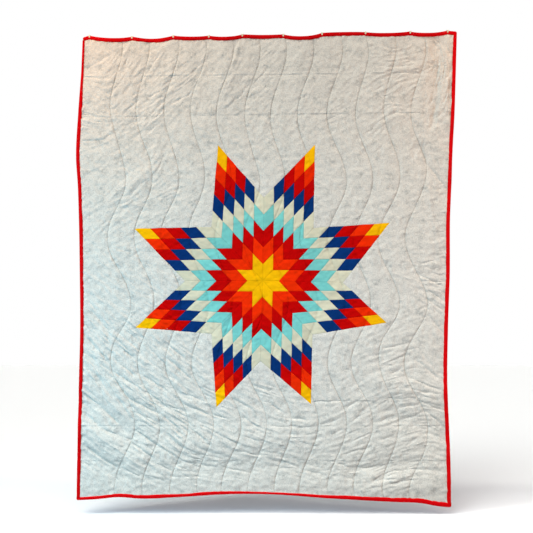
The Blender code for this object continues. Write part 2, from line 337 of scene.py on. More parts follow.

# %% [markdown]
# ## Creases placed one by one
#
# The wrinkles are what tells cloth from board. The longest ones are placed one by one: a row of
# the table is a straight run with a half width and a relief, a trough where it is negative. They
# could be sculpted by hand, but a table can be read and corrected row by row. Across its run a
# trough is sharp at the bottom and has a low ridge on both sides, because cloth that is pushed in
# at one place stands up beside it.

# %% Crease table
# Two ladders of short creases, where the right binding draws the cloth in
HIGH_LADDER = tuple((850, d + 7, 872, d, 3, -1.8) for d in range(165, 420, 18))
LOW_LADDER = tuple((840, d + 6, 870, d, 4, -2.2) for d in range(725, 1260, 26))
CREASES = (
    # across, down, to across, to down, half width, relief
    *HIGH_LADDER,
    *LOW_LADDER,
    # Upper left, from the edge to the first line
    (-888, 174, -766, 96, 5, -4),
    (-894, 202, -747, 218, 5, -3),
    (-891, 224, -763, 365, 5, -2.5),
    (-897, 305, -857, 362, 5, -2.5),
    (-897, 390, -769, 408, 6, -4),
    (-900, 521, -788, 511, 6, -4),
    (-788, 511, -757, 490, 6, -4),
    (-900, 446, -763, 474, 4, -1.5),
    (-905, 700, -840, 660, 6, -2),
    (-850, 850, -760, 770, 6, -2),
    # Upper left, between the lines
    (-669, 36, -713, 155, 10, 5),
    (-676, 118, -713, 199, 8, -4),
    (-513, 93, -588, 190, 8, -6),
    (-535, 80, -600, 165, 8, 4),
    (-480, 35, -560, 170, 14, 5),
    (-438, 155, -363, 130, 5, -3),
    (-382, 205, -307, 130, 5, -4),
    (-451, 265, -363, 221, 5, -3),
    (-438, 321, -363, 280, 5, -4),
    (-619, 343, -476, 243, 6, -5),
    (-613, 365, -476, 285, 5, -4),
    (-576, 399, -494, 324, 5, -4),
    (-563, 418, -500, 360, 5, -4),
    (-704, 399, -632, 318, 7, -5),
    (-688, 449, -632, 418, 7, -5),
    (-700, 299, -650, 224, 9, -4),
    (-588, 486, -507, 411, 11, -5),
    (-563, 599, -525, 493, 9, 4),
    (-540, 668, -510, 625, 5, -4),
    (-688, 768, -575, 649, 10, 6),
    (-676, 786, -640, 758, 6, -4),
    (-716, 830, -607, 836, 7, 3),
    (-520, 800, -450, 780, 6, -3),
    # Top, middle
    (-285, 30, -350, 340, 12, 4),
    (-125, 30, -169, 155, 9, 5),
    (-194, 358, -88, 255, 6, -4),
    (-204, 290, -157, 180, 9, 4),
    (-63, 236, 17, 161, 6, -4),
    (-25, 111, 17, 68, 6, -4),
    (-132, 600, -107, 480, 12, 3),
    (-25, 474, 5, 386, 12, 3),
    (60, 520, 95, 400, 12, 3),
    (-55, 300, 30, 215, 6, -3),
    (-40, 345, 20, 300, 6, -3),
    # Lower left, from the edge to the first line
    (-894, 1464, -813, 1551, 8, -6),
    (-813, 1551, -775, 1595, 7, -6),
    (-897, 1551, -832, 1595, 6, -4.8),
    (-850, 1351, -763, 1464, 13, -6),
    (-844, 1645, -782, 1732, 15, -6),
    (-897, 1751, -813, 1814, 8, -8.4),
    (-813, 1814, -725, 1901, 8, -8.4),
    (-894, 1782, -757, 1907, 11, 4.8),
    (-894, 1845, -807, 1926, 10, -8.4),
    (-807, 1926, -663, 1982, 9, -8.4),
    (-894, 2001, -800, 2076, 9, -7.2),
    (-800, 2076, -732, 2114, 8, -7.2),
    (-907, 2089, -838, 2114, 7, -2.8),
    # Lower left, between the lines
    (-738, 1507, -632, 1595, 7, -6),
    (-750, 1582, -638, 1670, 7, -6),
    (-750, 1645, -613, 1732, 7, -7.2),
    (-732, 1695, -669, 1782, 7, -6),
    (-669, 1782, -525, 1851, 7, -7.2),
    (-725, 1776, -663, 1876, 7, -6),
    (-650, 1839, -532, 1895, 5, -4.8),
    (-644, 1882, -550, 1907, 5, -2.1),
    (-650, 1926, -532, 2007, 8, -7.2),
    (-657, 1995, -563, 2064, 6, -6),
    (-613, 1657, -500, 1732, 12, -7.2),
    (-588, 1745, -500, 1807, 8, -7.2),
    (-500, 1807, -400, 1839, 8, -6),
    (-532, 1795, -400, 1864, 6, -6),
    (-525, 1845, -419, 1932, 6, -7.2),
    (-588, 1514, -500, 1607, 6, -4.8),
    (-519, 1889, -400, 1957, 5, -4.8),
    (-513, 1926, -419, 2014, 8, -6),
    (-532, 2001, -444, 2064, 6, -6),
    (-469, 1526, -369, 1607, 6, -4.8),
    (-475, 1589, -369, 1682, 7, -6),
    (-438, 1745, -300, 1789, 9, -6),
    (-400, 1807, -263, 1861, 8, -6),
    (-375, 1920, -300, 1982, 7, -5),
    (-713, 2114, -607, 2164, 6, -4.8),
    (-600, 2151, -500, 2182, 7, -3.5),
    (-557, 2089, -444, 2139, 5, -4.8),
    (-488, 2157, -350, 2164, 6, -2.8),
    (-419, 2089, -238, 2114, 7, -3.5),
    (-400, 2045, -294, 2057, 7, -2.8),
    (-300, 2045, -225, 2070, 7, -2.8),
    (-257, 1857, -194, 1876, 7, -5),
    (-250, 1945, -138, 2001, 6, -4),
    (-169, 1776, -75, 1826, 9, -6),
    (-119, 1864, -38, 1920, 7, -5),
    (-113, 1957, -13, 2001, 6, -4),
    (-150, 2032, -25, 2057, 7, -3.5),
    (-213, 2114, -75, 2145, 7, -3.5),
    (-69, 1714, 17, 1745, 8, -5),
    # Lower middle
    (17, 1751, 73, 1770, 6, -4),
    (20, 1807, 80, 1845, 7, -5),
    (123, 1870, 192, 1882, 7, -5),
    (17, 1914, 250, 1917, 6, -2.8),
    (130, 1976, 230, 2007, 6, -2.8),
    (20, 2038, 95, 2058, 7, -3.5),
    (86, 2089, 167, 2120, 8, -5),
    (186, 2126, 298, 2157, 8, -4.2),
    (223, 1795, 417, 1784, 6, -4),
    # Lower right
    (267, 1907, 380, 1870, 10, -3.1),
    (292, 1964, 386, 1926, 9, -3.8),
    (392, 1832, 473, 1770, 9, -3.8),
    (430, 1889, 492, 1820, 9, -3.8),
    (398, 1995, 511, 1945, 8, -3),
    (367, 2051, 505, 2014, 10, -4.2),
    (330, 2089, 448, 2126, 10, -3.7),
    (317, 2151, 417, 2164, 8, -2.6),
    (448, 2126, 580, 2107, 12, -5.2),
    (605, 2132, 730, 2120, 11, -5.2),
    (517, 2182, 573, 2145, 9, -5.5),
    (580, 2201, 698, 2170, 12, -5.2),
    (455, 2160, 567, 2152, 14, 3.7),
    (592, 2176, 717, 2143, 12, 3.7),
    (480, 2226, 567, 2210, 6, -2.6),
    (511, 1832, 611, 1782, 8, -3),
    (530, 1901, 642, 1857, 9, -3.8),
    (555, 1982, 642, 1964, 11, -2.6),
    (573, 1532, 673, 1511, 7, -4),
    (598, 1595, 680, 1557, 8, -5),
    (598, 1657, 673, 1626, 9, -5),
    (560, 1614, 617, 1620, 5, -3),
    (548, 1780, 742, 1776, 6, -2.2),
    (648, 1826, 755, 1801, 7, -3),
    (655, 1889, 773, 1839, 9, -3.8),
    (680, 2010, 760, 1960, 9, -3),
    # Upper right
    (569, 50, 613, 76, 7, -5),
    (648, 78, 672, 66, 6, -4),
    (792, 12, 853, 74, 5, -4),
    (805, 4, 862, 58, 4, -3),
    (781, 133, 799, 142, 5, -4),
    (610, 186, 762, 181, 6, -6),
    (620, 168, 750, 163, 8, 4),
    (626, 211, 654, 194, 5, -4),
    (636, 222, 668, 200, 5, -3.5),
    (591, 308, 637, 351, 6, -4.5),
    (528, 281, 566, 256, 5, -3.5),
    (600, 395, 640, 378, 6, -4.5),
    (477, 489, 575, 408, 7, -4.5),
    (500, 592, 570, 536, 5, -4.5),
    (521, 482, 560, 440, 5, -3.5),
    (311, 415, 365, 388, 6, -4),
    (300, 440, 352, 420, 6, -3.5),
    (694, 570, 728, 536, 5, -4.5),
    (762, 555, 797, 498, 5, 4),
    (790, 447, 801, 393, 5, 4),
    (805, 380, 828, 357, 5, -4),
    (700, 400, 745, 455, 6, -3.5),
    (842, 120, 834, 323, 9, -6),
    (834, 323, 803, 476, 9, -6),
    (859, 120, 852, 323, 9, 4.5),
    (852, 323, 824, 470, 9, 4.5),
    (884, 40, 900, 480, 4, -4),
    (874, 60, 887, 420, 5, 3),
    (866, 60, 870, 240, 4, -3),
    # Right strip
    (757, 561, 791, 635, 10, -5.5),
    (791, 635, 884, 762, 8, -5.5),
    (788, 745, 850, 1110, 9, 3),
    (728, 1126, 836, 1098, 5, -4),
    (731, 1165, 866, 1233, 6, -5),
    (754, 1205, 868, 1212, 5, -4),
    (791, 1250, 872, 1306, 6, -5),
    (786, 1364, 867, 1464, 7, -5),
    (780, 1290, 870, 1350, 7, -5),
    (723, 1501, 867, 1695, 6, -3),
    (730, 1589, 861, 1695, 6, -3),
    (698, 1676, 867, 1745, 7, -5),
    (748, 1739, 867, 1757, 7, -5),
    (761, 1795, 867, 1839, 7, -3.8),
    (786, 1845, 873, 1920, 7, -3.8),
    (742, 2095, 873, 2089, 8, -2.1),
    (755, 2126, 861, 2132, 13, -2.6),
)
CREASE_DEPTHS, CREASE_UP, CREASE_LOW = (900.0, 1650.0), 0.78, 1.15
CREASE_BEND, BEND_SIZE = 5, 33


def crease_relief(across, down):
    """Sum of the listed creases, each worked out only for the points close to its run.

    Across a trough the depth falls off as the exponential of the distance, which leaves a sharp
    bottom, and a wide low bell raises both its sides. A ridge is a rounded bell. The cloth's own
    weight smooths the upper half, so all of them grow from CREASE_UP to CREASE_LOW on the way down.
    """
    total = np.zeros_like(across)
    for row in CREASES:
        x0, d0, x1, d1, half_width, relief = row
        reach = 5 * half_width
        near = (across > min(x0, x1) - reach) & (across < max(x0, x1) + reach)
        near &= (down > min(d0, d1) - reach) & (down < max(d0, d1) + reach)
        x, d = across[near], down[near]
        bend = CREASE_BEND * noise(x / BEND_SIZE, d / BEND_SIZE, seed=9)
        off, along = beside(x + bend, d + bend, row)
        u = off / half_width
        taper = (4 * along * (1 - along)) ** 0.5 * 0.75 + 0.25
        bell = np.exp(-(u**2) / 1.5)
        trough = 1.35 * np.exp(-1.1 * u) - 0.35 * np.exp(-((u / 2.6) ** 2))
        total[near] += relief * taper * (bell if relief > 0 else trough)
    return np.interp(down, CREASE_DEPTHS, (CREASE_UP, CREASE_LOW)) * total


print(len(CREASES), "hand-placed creases")

# %% [markdown]
# ## Smaller wrinkles
#
# Between the long creases the cloth is never flat. Fine drag wrinkles lie in the direction that
# the cloth was pulled in. That direction is a field: every long crease turns it its own way, and a
# few zones set it where no crease is near. Random height is then smeared along the field, which
# draws long thin streaks that bend with it, and each streak's zero line becomes a narrow valley.
# A cloth simulation would need millions of faces to reach folds this fine.

# %% Flow of the cloth
RASTER = 4.0
raster_x = np.arange(-970, 971, RASTER)
raster_d = np.arange(-50, 2351, RASTER)
FLOW_ZONES = (
    # across, down, reach, rise in degrees, strength
    (-600, 250, 330, 52, 0.34),
    (-850, 350, 130, -20, 0.30),
    (-60, 200, 330, 56, 0.26),
    (350, 300, 330, 62, 0.22),
    (780, 300, 260, 72, 0.38),
    (560, 180, 200, 25, 0.30),
    (-650, 800, 330, 48, 0.40),
    (-780, 1300, 300, -36, 0.60),
    (830, 1100, 300, -42, 0.40),
    (-650, 1760, 420, -40, 1.75),
    (-100, 2080, 380, -8, 0.58),
    (420, 2000, 330, 32, 0.50),
    (680, 1600, 260, 34, 0.45),
    (830, 1950, 260, -28, 0.48),
    (0, 1180, 560, 12, 0.20),
)
STRONGEST = 1.7
CREASE_REACH, CREASE_FORCE, CREASE_STRENGTH = 60, 0.25, 0.22
STREAK_STEP = 6


def flow_field(across, down):
    """Direction of the drag in the cloth and how strong it is.

    Every listed crease and every zone pulls the direction its own way, by its weight. The
    angles are doubled for the sum, since a crease has no front end.
    """
    cosine, sine = np.zeros_like(across), np.zeros_like(across)
    strength = np.zeros_like(across)
    for x0, d0, x1, d1, _, relief in CREASES:
        off, _ = beside(across, down, (x0, d0, x1, d1))
        weight = np.abs(relief) * CREASE_FORCE * np.exp(-((off / CREASE_REACH) ** 2))
        angle = 2 * np.arctan2(d1 - d0, x1 - x0)
        cosine, sine = cosine + weight * np.cos(angle), sine + weight * np.sin(angle)
        strength += CREASE_STRENGTH * weight
    for x0, d0, reach, rise, force in FLOW_ZONES:
        weight = force * np.exp(-(((across - x0) ** 2 + (down - d0) ** 2) / reach**2) ** 1.5)
        angle = -2 * np.radians(rise)
        cosine, sine = cosine + weight * np.cos(angle), sine + weight * np.sin(angle)
        strength += weight
    return 0.5 * np.arctan2(sine, cosine), np.minimum(strength, STRONGEST)


def from_raster(values, across, down):
    """Value of the raster at any place, blended from the four nearest points."""
    u = np.clip((across - raster_x[0]) / RASTER, 0, len(raster_x) - 1.001)
    v = np.clip((down - raster_d[0]) / RASTER, 0, len(raster_d) - 1.001)
    i, j = u.astype(int), v.astype(int)
    u, v = u - i, v - j
    upper = values[j, i] * (1 - u) + values[j, i + 1] * u
    lower = values[j + 1, i] * (1 - u) + values[j + 1, i + 1] * u
    return upper * (1 - v) + lower * v


def streaks(angle, spacing, reach, seed):
    """Noise smeared along the flow, so that it becomes long thin streaks that bend with it."""
    x, d = np.meshgrid(raster_x, raster_d)
    start = noise(x / spacing, d / spacing, seed)
    total, weights = start.copy(), 1.0
    for sign in (-1, 1):
        at_x, at_d = x.copy(), d.copy()
        way_x, way_d = sign * np.cos(angle), sign * np.sin(angle)
        for step in range(1, round(reach / STREAK_STEP)):
            at_x, at_d = at_x + STREAK_STEP * way_x, at_d + STREAK_STEP * way_d
            turned = from_raster(angle, at_x, at_d)
            new_x, new_d = np.cos(turned), np.sin(turned)
            same = np.sign(new_x * way_x + new_d * way_d)
            way_x, way_d = new_x * same, new_d * same
            weight = 0.5 + 0.5 * np.cos(np.pi * step * STREAK_STEP / reach)
            total += weight * from_raster(start, at_x, at_d)
            weights += weight
    total /= weights
    return total / total.std()


grid_x, grid_d = np.meshgrid(raster_x, raster_d)
FLOW, STRENGTH = flow_field(grid_x, grid_d)
LONG = streaks(FLOW, spacing=10.5, reach=110, seed=11)
SHORT = streaks(FLOW, spacing=7.5, reach=45, seed=12)
LONG_VALLEY, LONG_WIDTH, LONG_SWELL = 2.7, 0.45, 0.5
SHORT_VALLEY, SHORT_WIDTH, SHORT_SWELL = 1.5, 0.5, 0.3
PATCH_SIZE, FULL_PATCH = 70, 1.3
patchy = 0.55 + 0.9 * noise(grid_x / PATCH_SIZE, grid_d / PATCH_SIZE, seed=13)
patchy = np.clip(patchy, 0, FULL_PATCH)
VALLEYS = -LONG_VALLEY * patchy * np.exp(-((LONG / LONG_WIDTH) ** 2)) + LONG_SWELL * LONG
SHORT_VALLEYS = SHORT_VALLEY * (FULL_PATCH - patchy) * np.exp(-((SHORT / SHORT_WIDTH) ** 2))
VALLEYS -= SHORT_VALLEYS - SHORT_SWELL * SHORT
DRAG = STRENGTH * VALLEYS
print("drag wrinkles", round(float(DRAG.min()), 2), "to", round(float(DRAG.max()), 2), "mm")

# %% [markdown]
# Three more marks come from the making and the keeping. The thread pulls a narrow valley into the
# padding along each stitch line, deeper here than there, and gathers short puckers beside it. The
# long straight marks that cross the whole quilt show where it was folded for storage.

# %% Puckers and storage folds
STORAGE_FOLDS = (
    # across, down, to across, to down, half width, relief
    (-905, 208, 925, 186, 3, -2.4),
    (-910, 404, 920, 380, 3, -2.2),
    (-915, 1913, 890, 1913, 3, -1.8),
    (-915, 2085, 895, 2083, 3, -1.8),
    (235, 1791, 700, 1791, 3, -2.3),
    (-742, 634, -742, 840, 3, -1.3),
    (-742, 1717, -742, 1910, 3, -1.2),
    (775, 2150, 775, 2255, 3, -1.0),
    (775, 60, 775, 300, 3, -0.6),
)
PUCKER_RELIEF, PUCKER_SPACING, PUCKER_REACH = 2.2, 13.0, 22.0
GROOVE_RELIEF, GROOVE_WIDTH = 2.2, 3.2
CRUMPLE_RELIEF, CRUMPLE_SIZE = 1.6, 18.0
FINE_CRUMPLE_SHARE, FINE_CRUMPLE_SIZE = 0.4, 9
EDGE_PUCKER_RELIEF, EDGE_PUCKER_INSET, EDGE_PUCKER_WIDTH = 1.5, 24, 11
# Painted shade in the valleys of the stitch lines: how much it darkens, and its half width in mm
STITCH_SHADE_STRENGTH, STITCH_SHADE_WIDTH = 0.42, 2.8
PRESSED_BATTING = 1.6
SHOWS_BEHIND = 0.6


def line_distance(across, down, place):
    """Distance to the nearest stitch line, positive to its right, and which line it is."""
    line = np.clip(np.round(place), FIRST_LINE, LAST_LINE).astype(int)
    at_line = np.take_along_axis(anchors(down), line[None], axis=0)[0]
    return across - at_line, line


def thread_pull(line, down):
    """How tight the thread is along a line: a share that wanders between 0.44 and 1."""
    return 0.72 + 0.28 * noise(down / 60, line * 2.3, seed=8)


def grooves(off, line, down):
    """Narrow valley that the thread pulls into the padding along each line."""
    return -GROOVE_RELIEF * thread_pull(line, down) * np.exp(-((off / GROOVE_WIDTH) ** 2))


def seam_shade(across, down, place):
    """Painted shade in the valleys of the stitch lines: a bell across each, times the thread's
    pull.
    """
    off, line = line_distance(across, down, place)
    return STITCH_SHADE_STRENGTH * thread_pull(line, down) * np.exp(-((off / STITCH_SHADE_WIDTH) ** 2))


def puckers(off, line, down):
    """Short random ridges that leave the stitch line aslant and die out beside it."""
    reach = np.exp(-np.abs(off) / PUCKER_REACH) * (1 - np.exp(-((off / 4) ** 2)))
    swing = np.sign(off) * 0.45 * np.abs(off)
    return PUCKER_RELIEF * reach * noise((down + swing) / PUCKER_SPACING, line * 3.7, seed=5)


def storage_folds(across, down):
    """Sharp straight marks, each with a low ridge above it, deeper here than there."""
    total = np.zeros_like(across)
    for seed, row in enumerate(STORAGE_FOLDS):
        off, along = beside(across, down, row)
        patchy = 0.6 + 0.6 * noise(across / 60, down / 60, 80 + seed)
        total += row[5] * patchy * np.exp(-np.abs(off) / row[4])
        above, _ = beside(across, down + 2.2 * row[4], row)
        total -= 0.7 * row[5] * patchy * np.exp(-((above / row[4]) ** 2))
    return total


def edge_puckers(along, inwards, seed):
    """Short gathers side by side along an edge: a bell across the place where they stand."""
    bell = np.exp(-(((inwards - EDGE_PUCKER_INSET) / EDGE_PUCKER_WIDTH) ** 2))
    return noise(along / 8, inwards / 40, seed) * bell


def wrinkles(across, down, place):
    """All the cloth's own relief, faded out towards the binding, which holds the cloth flat."""
    off, line = line_distance(across, down, place)
    total = crease_relief(across, down) + from_raster(DRAG, across, down)
    total += puckers(off, line, down) + grooves(off, line, down) + storage_folds(across, down)
    total += CRUMPLE_RELIEF * noise(across / CRUMPLE_SIZE, down / CRUMPLE_SIZE, seed=3)
    fine_places = across / FINE_CRUMPLE_SIZE, down / FINE_CRUMPLE_SIZE
    total += FINE_CRUMPLE_SHARE * CRUMPLE_RELIEF * noise(*fine_places, seed=4)
    at = anchors(down)
    beside_edge = np.minimum(across - at[0], at[-1] - across)
    below_top = down - top_edge(across) - EDGE_INSET
    above_hem = bottom_edge(across) - EDGE_INSET - down
    under_edge = np.minimum(below_top, above_hem)
    inside = np.clip(np.minimum(beside_edge, under_edge) / MARGIN, 0, 1) ** 2
    gather = edge_puckers(down, beside_edge, seed=6) + edge_puckers(across, under_edge, seed=7)
    return total * inside + EDGE_PUCKER_RELIEF * gather * inside


def front_relief(across, down, place):
    """The front cloth: the quilt's middle, plus half its thickness, plus its wrinkles."""
    whole = broad_relief(across, down) + padding(across, down, place)
    return whole + wrinkles(across, down, place)


def back_relief(across, down, place):
    """The backing: the middle less half the thickness, with the long creases showing through.

    It is never closer to the front than the batting that is pressed flat in between.
    """
    whole = broad_relief(across, down) - padding(across, down, place)
    inside = np.clip(np.minimum(place, ANCHORS - 1 - place), 0, 1) ** 2
    off, line = line_distance(across, down, place)
    pulled = grooves(off, line, down) + puckers(off, line, down)
    own = whole + inside * (SHOWS_BEHIND * crease_relief(across, down) - pulled)
    return np.minimum(own, front_relief(across, down, place) - PRESSED_BATTING)


# %% [markdown]
# ## The star
#
# An eight-pointed star is pieced from eight large diamonds, and each of them from five rows of
# five small ones. A large diamond has its corners at the centre, at a notch of the outline, at
# its own tip and at the next notch, and the small ones divide it evenly, so a patch's place is the
# bilinear blend of four corners. Rows of one colour run round the centre, so the colour of a patch
# follows from how many steps it is from the centre.

# %% Star geometry
PATCHES = 5
STAR_CENTRE = np.array((-18.0, 1201.0))
NOTCHES = np.array([
    # across, down
    (-13, 796),
    (230, 943),
    (374, 1211),
    (224, 1465),
    (-30, 1593),
    (-270, 1461),
    (-398, 1204),
    (-270, 938),
], float)
TIPS = np.array([
    # across, down, of the large diamond after the notch in the same row
    (237, 537),
    (601, 919),
    (586, 1407),
    (218, 1805),
    (-245, 1821),
    (-641, 1430),
    (-645, 947),
    (-237, 539),
], float)
RANK_CLOTH = (
    "yellow", "orange", "red", "turquoise", "cream", "navy", "red", "orange", "yellow",
)
SIDE_LENGTH = 410.0 / PATCHES
SEAM_DIP, SEAM_REACH = 1.0, 2.6
SEAM_SLACK = 0.5
SWAY, SWAY_SIZE = 1.3, 47
ALLOWANCE = 6.0


def sway(points):
    """Small sideways drift of the pieced cloth, so that no seam is ruled."""
    across, down = points[..., 0], points[..., 1]
    drift = [SWAY * noise(across / SWAY_SIZE, down / SWAY_SIZE, seed) for seed in (21, 22)]
    return points + np.stack(drift, axis=-1)


def arm_corners(arm):
    """Corners of a large diamond: centre, notch, tip and next notch."""
    return STAR_CENTRE, NOTCHES[arm], TIPS[arm], NOTCHES[(arm + 1) % len(NOTCHES)]


def in_arm(arm, a, b):
    """Blend of the corners, where a runs from the centre to the notch and b to the next one."""
    centre, notch, tip, after = arm_corners(arm)
    a, b = a[..., None], b[..., None]
    flat = (1 - a) * (1 - b) * centre + a * (1 - b) * notch + a * b * tip + (1 - a) * b * after
    return sway(flat)


def outline_distance(points):
    """Distance to the star's outline: the nearest of its sixteen straight seams."""
    best = np.full(points.shape[:-1], np.inf)
    for arm in range(len(NOTCHES)):
        _, notch, tip, after = arm_corners(arm)
        for start, end in ((notch, tip), (tip, after)):
            off, _ = beside(points[..., 0], points[..., 1], (*start, *end))
            best = np.minimum(best, off)
    return best


def in_star(points):
    """True inside the star: inside all four edges of one diamond, with SEAM_SLACK to spare."""
    inside = np.zeros(points.shape[:-1], bool)
    for arm in range(len(NOTCHES)):
        corners = np.array(arm_corners(arm))
        within = np.ones_like(inside)
        for start, end in zip(corners, np.roll(corners, -1, axis=0)):
            edge = end - start
            side = edge[0] * (points[..., 1] - start[1]) - edge[1] * (points[..., 0] - start[0])
            within &= side / np.hypot(*edge) > -SEAM_SLACK
        inside |= within
    return inside


reach = np.hypot(*(TIPS - STAR_CENTRE).T)
print("from the centre to the tips", reach.round().astype(int), "mm")

# %% [markdown]
# ## Cottons
#
# Every cloth here is plain woven cotton, so one recipe serves: a weave for close views, a slow
# unevenness of the dye, and a soft fuzz that keeps the surface matt. The weave is two sets of
# threads, each a rounded ridge, that pass over and under by turns. It is a node group, because the
# white ground, the six star cottons, the binding and the backing all use it.

# %% Node helpers
def link(tree, value, socket):
    """Sets an input socket to a number or a colour, or joins another node's output to it."""
    if isinstance(value, (int, float)):
        socket.default_value = value
    elif isinstance(value, tuple):
        socket.default_value = (*value, 1)
    else:
        tree.links.new(value, socket)


def math_node(tree, operation, *values, clamp=False):
    """Math node whose one to three inputs are outputs of other nodes or numbers."""
    node = tree.nodes.new("ShaderNodeMath")
    node.operation = operation
    node.use_clamp = clamp
    for socket, value in zip(node.inputs, values):
        link(tree, value, socket)
    return node.outputs[0]


def noise_node(tree, vector, scale, detail=2.0, roughness=0.5):
    """Noise over a vector, as a value from 0 to 1."""
    node = tree.nodes.new("ShaderNodeTexNoise")
    node.inputs["Scale"].default_value = scale
    node.inputs["Detail"].default_value = detail
    node.inputs["Roughness"].default_value = roughness
    link(tree, vector, node.inputs["Vector"])
    return node.outputs["Fac"]


def mix_colour(tree, factor, first, second, blend="MIX"):
    """Mix of two colours, each an output or a triple."""
    node = tree.nodes.new("ShaderNodeMix")
    node.data_type = "RGBA"
    node.blend_type = blend
    sockets = [s for s in node.inputs if s.type == "RGBA"]
    for socket, value in zip(sockets, (first, second)):
        link(tree, value, socket)
    link(tree, factor, node.inputs["Factor"])
    return next(s for s in node.outputs if s.type == "RGBA")


def attribute(tree, name):
    """Value that the mesh stores at its points under a name."""
    node = tree.nodes.new("ShaderNodeAttribute")
    node.attribute_name = name
    return node.outputs["Fac"]


def bump_normal(tree, height, distance, strength):
    """Normal of a surface that stands up by a height times the distance, in metres."""
    node = tree.nodes.new("ShaderNodeBump")
    node.inputs["Distance"].default_value = distance
    node.inputs["Strength"].default_value = strength
    link(tree, height, node.inputs["Height"])
    return node.outputs["Normal"]


def new_material(name):
    """Material, its node tree and its Principled shader."""
    material = bpy.data.materials.new(name)
    material.use_nodes = True
    return material, material.node_tree, material.node_tree.nodes["Principled BSDF"]


# %% Weave group
THREADS_PER_METRE = 2400
SLUB_STRETCH = (40, 900, 1)
DYE_SCALE = 15


def weave_group():
    """Plain weave over UV in metres: height of two crossing sets of threads, and uneven dye."""
    tree = bpy.data.node_groups.new("plain_weave", "ShaderNodeTree")
    face = tree.interface
    face.new_socket("Vector", in_out="INPUT", socket_type="NodeSocketVector")
    threads = face.new_socket("Threads per metre", in_out="INPUT", socket_type="NodeSocketFloat")
    threads.default_value = THREADS_PER_METRE
    face.new_socket("Height", in_out="OUTPUT", socket_type="NodeSocketFloat")
    face.new_socket("Unevenness", in_out="OUTPUT", socket_type="NodeSocketFloat")
    start = tree.nodes.new("NodeGroupInput")
    end = tree.nodes.new("NodeGroupOutput")
    scaled = tree.nodes.new("ShaderNodeVectorMath")
    scaled.operation = "SCALE"
    link(tree, start.outputs["Vector"], scaled.inputs[0])
    link(tree, start.outputs["Threads per metre"], scaled.inputs["Scale"])
    parts = tree.nodes.new("ShaderNodeSeparateXYZ")
    link(tree, scaled.outputs[0], parts.inputs[0])
    turns = [math_node(tree, "MULTIPLY", parts.outputs[i], np.pi) for i in (0, 1)]
    ridges = [math_node(tree, "ABSOLUTE", math_node(tree, "SINE", t)) for t in turns]
    over = math_node(tree, "MULTIPLY", *[math_node(tree, "COSINE", t) for t in turns])
    over = math_node(tree, "MULTIPLY_ADD", over, 0.5, 0.5)
    warp = math_node(tree, "MULTIPLY", ridges[0], over)
    weft = math_node(tree, "MULTIPLY", ridges[1], math_node(tree, "SUBTRACT", 1.0, over))
    link(tree, math_node(tree, "ADD", warp, weft), end.inputs["Height"])
    slub = tree.nodes.new("ShaderNodeVectorMath")
    slub.operation = "MULTIPLY"
    slub.inputs[1].default_value = SLUB_STRETCH
    link(tree, start.outputs["Vector"], slub.inputs[0])
    slow = noise_node(tree, start.outputs["Vector"], DYE_SCALE, detail=5, roughness=0.72)
    streak = noise_node(tree, slub.outputs[0], scale=1)
    both = [math_node(tree, "MULTIPLY", slow, 0.7), math_node(tree, "MULTIPLY", streak, 0.3)]
    link(tree, math_node(tree, "ADD", *both), end.inputs["Unevenness"])
    return tree


WEAVE = weave_group()
print("node group", WEAVE.name)

# %% [markdown]
# The white ground carries a tone-on-tone print: blurred medallions about 74 mm apart, a little
# darker than the cloth. A Voronoi pattern scatters their centres almost evenly, the distance to
# the nearest centre makes them round, and noise breaks them into petals. A finer noise speckles
# the cloth between them. It is an all-over ordinary print that reads as soft mottling from a step
# away. An image would do the same, but it would blur close up. Only the ground has a print, so it
# is built in that material and not as a group.

# %% Print of the ground
MEDALLION_SCALE, MEDALLION_RANDOMNESS = 13.5, 0.35
PETAL_SCALE, SPECKLE_SCALE = 62, 165
PRINT_COLOUR, SPECKLE_COLOUR = (0.60, 0.63, 0.65), (0.72, 0.73, 0.74)
PRINT_STRENGTH = 0.9


def print_mask(tree, uv):
    """Mottled medallions: a mask from 0 to 1, small petals gathered round scattered centres."""
    cells = tree.nodes.new("ShaderNodeTexVoronoi")
    cells.inputs["Scale"].default_value = MEDALLION_SCALE
    cells.inputs["Randomness"].default_value = MEDALLION_RANDOMNESS
    link(tree, uv, cells.inputs["Vector"])
    petals = noise_node(tree, uv, PETAL_SCALE, detail=4, roughness=0.68)
    petals = math_node(tree, "MULTIPLY_ADD", petals, 4.0, -1.6)
    round_part = math_node(tree, "MULTIPLY_ADD", cells.outputs["Distance"], -3.0, 1.5)
    round_part = math_node(tree, "MAXIMUM", round_part, 0.25)
    round_part = math_node(tree, "MINIMUM", round_part, 1.0)
    return math_node(tree, "MULTIPLY", petals, round_part, clamp=True)


def printed_colour(tree, uv, base):
    """Colour of the cloth, darkened by the medallions and then by the speckle."""
    mask = math_node(tree, "MULTIPLY", print_mask(tree, uv), PRINT_STRENGTH)
    base = mix_colour(tree, mask, base, PRINT_COLOUR, "MULTIPLY")
    speckle = noise_node(tree, uv, SPECKLE_SCALE, roughness=0.6)
    speckle = math_node(tree, "MULTIPLY_ADD", speckle, 3.2, -1.3, clamp=True)
    fine = math_node(tree, "MULTIPLY", speckle, PRINT_STRENGTH)
    return mix_colour(tree, fine, base, SPECKLE_COLOUR, "MULTIPLY")


print("medallions", round(1000 / MEDALLION_SCALE), "mm apart")

# %% Cotton material
BRIGHTEST = 0.97
# Colour that the painted shade of stitch lines and seams multiplies the cloth by
PAINTED_SHADE_COLOUR = (0.55, 0.55, 0.54)
WEAVE_BUMP, WEAVE_STRENGTH = 0.00012, 0.6
FUZZ_SCALE, FUZZ_SPREAD = 700, 0.12
CLOTH_ROUGHNESS, CLOTH_GLOSS = 0.9, 0.03


